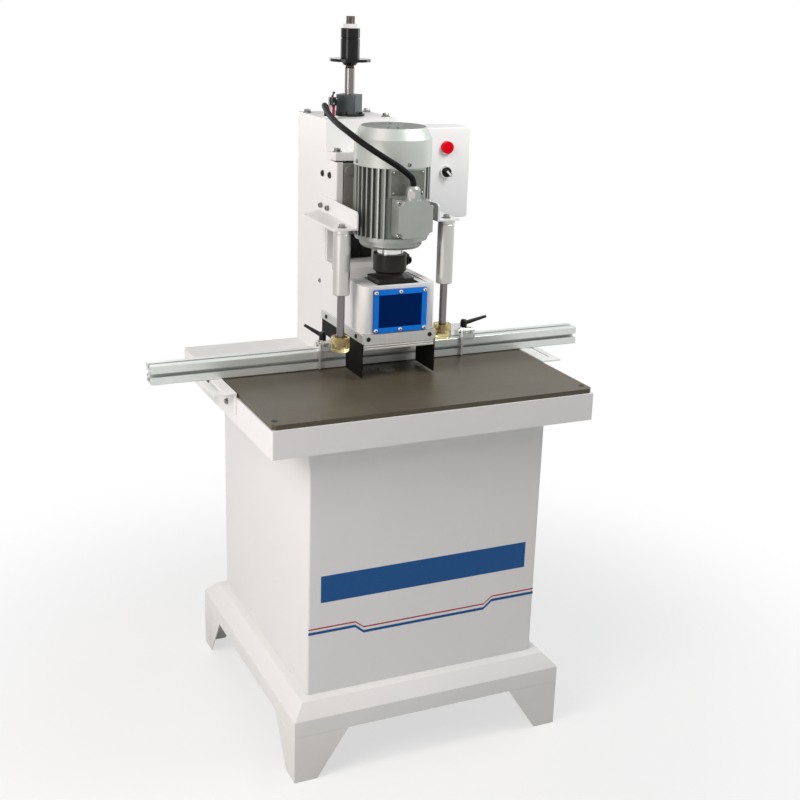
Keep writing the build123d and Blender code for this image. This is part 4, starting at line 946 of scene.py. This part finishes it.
def rim(name, outer, inner, levels, spot, material, body):
    """A flat ring between two outlines and two levels. Spot places a point at a level."""
    mesh = bmesh.new()
    outer_low, inner_low, outer_high, inner_high = [
        [mesh.verts.new(spot(*point, level)) for point in outline]
        for level in levels for outline in (outer, inner)]
    around = [outer_low, inner_low, inner_high, outer_high]
    for one, other in zip(around, around[1:] + around[:1]):
        bridge(mesh, one, other)
    return piece(name, mesh, material, body)


print("outline of a plate has", len(rounded(74, 50, 3)), "points")

# %% [markdown]
# ## Trim on the cabinet front
# A blue band and two coloured lines, cut from film. Both lines step down in the middle. They could be
# painted into the powder coat's material, but real film has an edge that catches light, so each one
# is a thin sheet.

# %% Band and lines
CABINET_FRONT, FILM_THICK = -227, 0.2
LINE_END, JOG_OUTER, JOG_INNER = 262, 159, 140
front_sheet("front_band", rounded(471, 59, 1, (0, -375.5)), CABINET_FRONT, FILM_THICK,
            vinyl["blue"], "machine")


def stepped_line(name, high, low, thick, material):
    """A line across the cabinet front that steps down between two slanted jogs."""
    top = [(-LINE_END, high), (-JOG_OUTER, high), (-JOG_INNER, low),
           (JOG_INNER, low), (JOG_OUTER, high), (LINE_END, high)]
    under = [(x, z - thick) for x, z in reversed(top)]
    return front_sheet(name, top + under, CABINET_FRONT, FILM_THICK, material, "machine")


stepped_line("front_line_red", -460, -475, 3, vinyl["red"])
stepped_line("front_line_blue", -468, -484, 6, vinyl["blue"])
print("band and two lines,", FILM_THICK, "mm thick")

# %% [markdown]
# ## Window rim
# Where the tinted sheet lies on the white box it looks bright blue, and over the dark inside it looks
# navy. Light can't be traced well through a sheet that touches paint, so the bright border is a thin
# rim of its own with that light painted into its bright blue, held by six screws. The navy of the
# middle is painted shade.

# %% Window rim and its screws
WINDOW = (0, 144.5)
RIM_BACK, RIM_FACE = -59, -59.6
rim("window_rim", rounded(121, 91, 3, WINDOW), rounded(98, 69, 1, WINDOW), (RIM_BACK, RIM_FACE),
    lambda x, z, y: at(x, y, z), rim_painted_lit_blue, "machine")
screws("window_screws", BUTTON_SCREW, 5.5,
       [((x, RIM_FACE, z), FRONT) for x in (-55, 0, 55) for z in (104.5, 184.5)],
       nickel, "machine", "tool_steel")
print("window rim", round(RIM_BACK - RIM_FACE, 1), "mm thick")

# %% [markdown]
# ## Lid round the boring head
# The head works through the top of the dust box. A white lid under the box's top sheet closes the
# opening up to the head, and leaves just the room that the head and the ear of its collar need on
# their way down. It is one ring, like the rim, only lying flat.

# %% Dust box lid
BOX_TOP_UNDERSIDE, LID_THICK = 195.5, 1.2
rim("dust_box_lid", rounded(138, 106, 3, (0, 1.5)), rounded(95.5, 81.5, 5, (5.25, 0.25)),
    (BOX_TOP_UNDERSIDE - LID_THICK, BOX_TOP_UNDERSIDE), at, powder_white, "machine")
print("lid of the dust box", LID_THICK, "mm thick")

# %% [markdown]
# ## Plates and labels
# The motor's rating plate is thin aluminium held by four rivets, left plain. The left clamp cylinder
# wears a plain label that bends round its tube, so it is built of upright columns at equal turns and
# not as a flat sheet. The selector's pointer is a white line in its grip.

# %% Rating plate
PLATE_BACK, PLATE_THICK = -76, 0.8
RIVET = [(0.7, 0, 0), (0.62, 0.25, 0), (0.36, 0.42, 0)]
front_sheet("motor_plate", rounded(72, 49, 3, (0, 410)), PLATE_BACK, PLATE_THICK,
            rating_plate, "head")
screws("motor_plate_rivets", RIVET, 4,
       [((x, PLATE_BACK - PLATE_THICK, z), FRONT) for x in (-32, 32) for z in (389.5, 430.5)],
       zinc, "head", "tool_steel")
print("rating plate", PLATE_THICK, "mm thick")

# %% Label on the clamp cylinder
TUBE_RADIUS, LABEL_THICK = 17.5, 0.15
LABEL_FOOT, LABEL_TOP, LABEL_START, LABEL_STEP = 227, 263, -103, 4
outside = TUBE_RADIUS + LABEL_THICK
profile = ((TUBE_RADIUS, LABEL_FOOT), (TUBE_RADIUS, LABEL_TOP),
           (outside, LABEL_TOP), (outside, LABEL_FOOT))
mesh = bmesh.new()
columns = []
for step in range(13):
    turn = radians(LABEL_START + LABEL_STEP * step)
    columns.append([mesh.verts.new(at(-CLAMP_X + r * cos(turn), CLAMP_Y + r * sin(turn), z))
                    for r, z in profile])
for one, other in zip(columns, columns[1:]):
    bridge(mesh, one, other)
mesh.faces.new(columns[0][::-1])
mesh.faces.new(columns[-1])
piece("clamp_cylinder_label", mesh, label_paper, "machine")
print("label", LABEL_TOP - LABEL_FOOT, "mm high")

# %% Pointer of the selector
SELECTOR, GRIP_FACE, TILT, POINTER_THICK = (220, 387), 178, radians(-45), 0.25
pointer = [(SELECTOR[0] + x * cos(TILT) - z * sin(TILT), SELECTOR[1] + x * sin(TILT) + z * cos(TILT))
           for x, z in rounded(15.8, 4.4, 1.5, (1.7, 0))]
front_sheet("selector_pointer", pointer, GRIP_FACE, POINTER_THICK,
            white_nylon, "selector")
print("pointer", POINTER_THICK, "mm thick")

# %% [markdown]
# ## Limit switch
# The switch's leads leave it downwards through a red sleeve into the column. Two small screws hold it
# to its bracket. The sleeve is a stack of rings with a wider collar at each end.

# %% Lead sleeve and switch screws
SLEEVE = [(4.2, 511, 0), (4.2, 513, 0), (3.2, 515, 0), (3.2, 530, 0), (4, 532, 0), (4, 535, 0)]
mesh = bmesh.new()
stack(mesh, SLEEVE, at(-46, 212, 0))
piece("switch_lead_sleeve", mesh, red_pvc, "machine")
screws("switch_screws", BUTTON_SCREW, 2.6,
       [((x, 205, z), FRONT) for x, z in ((-49, 538.5), (-43, 548.5))], *ZINC_FIXED)
print("sleeve", SLEEVE[-1][1] - SLEEVE[0][1], "mm long")
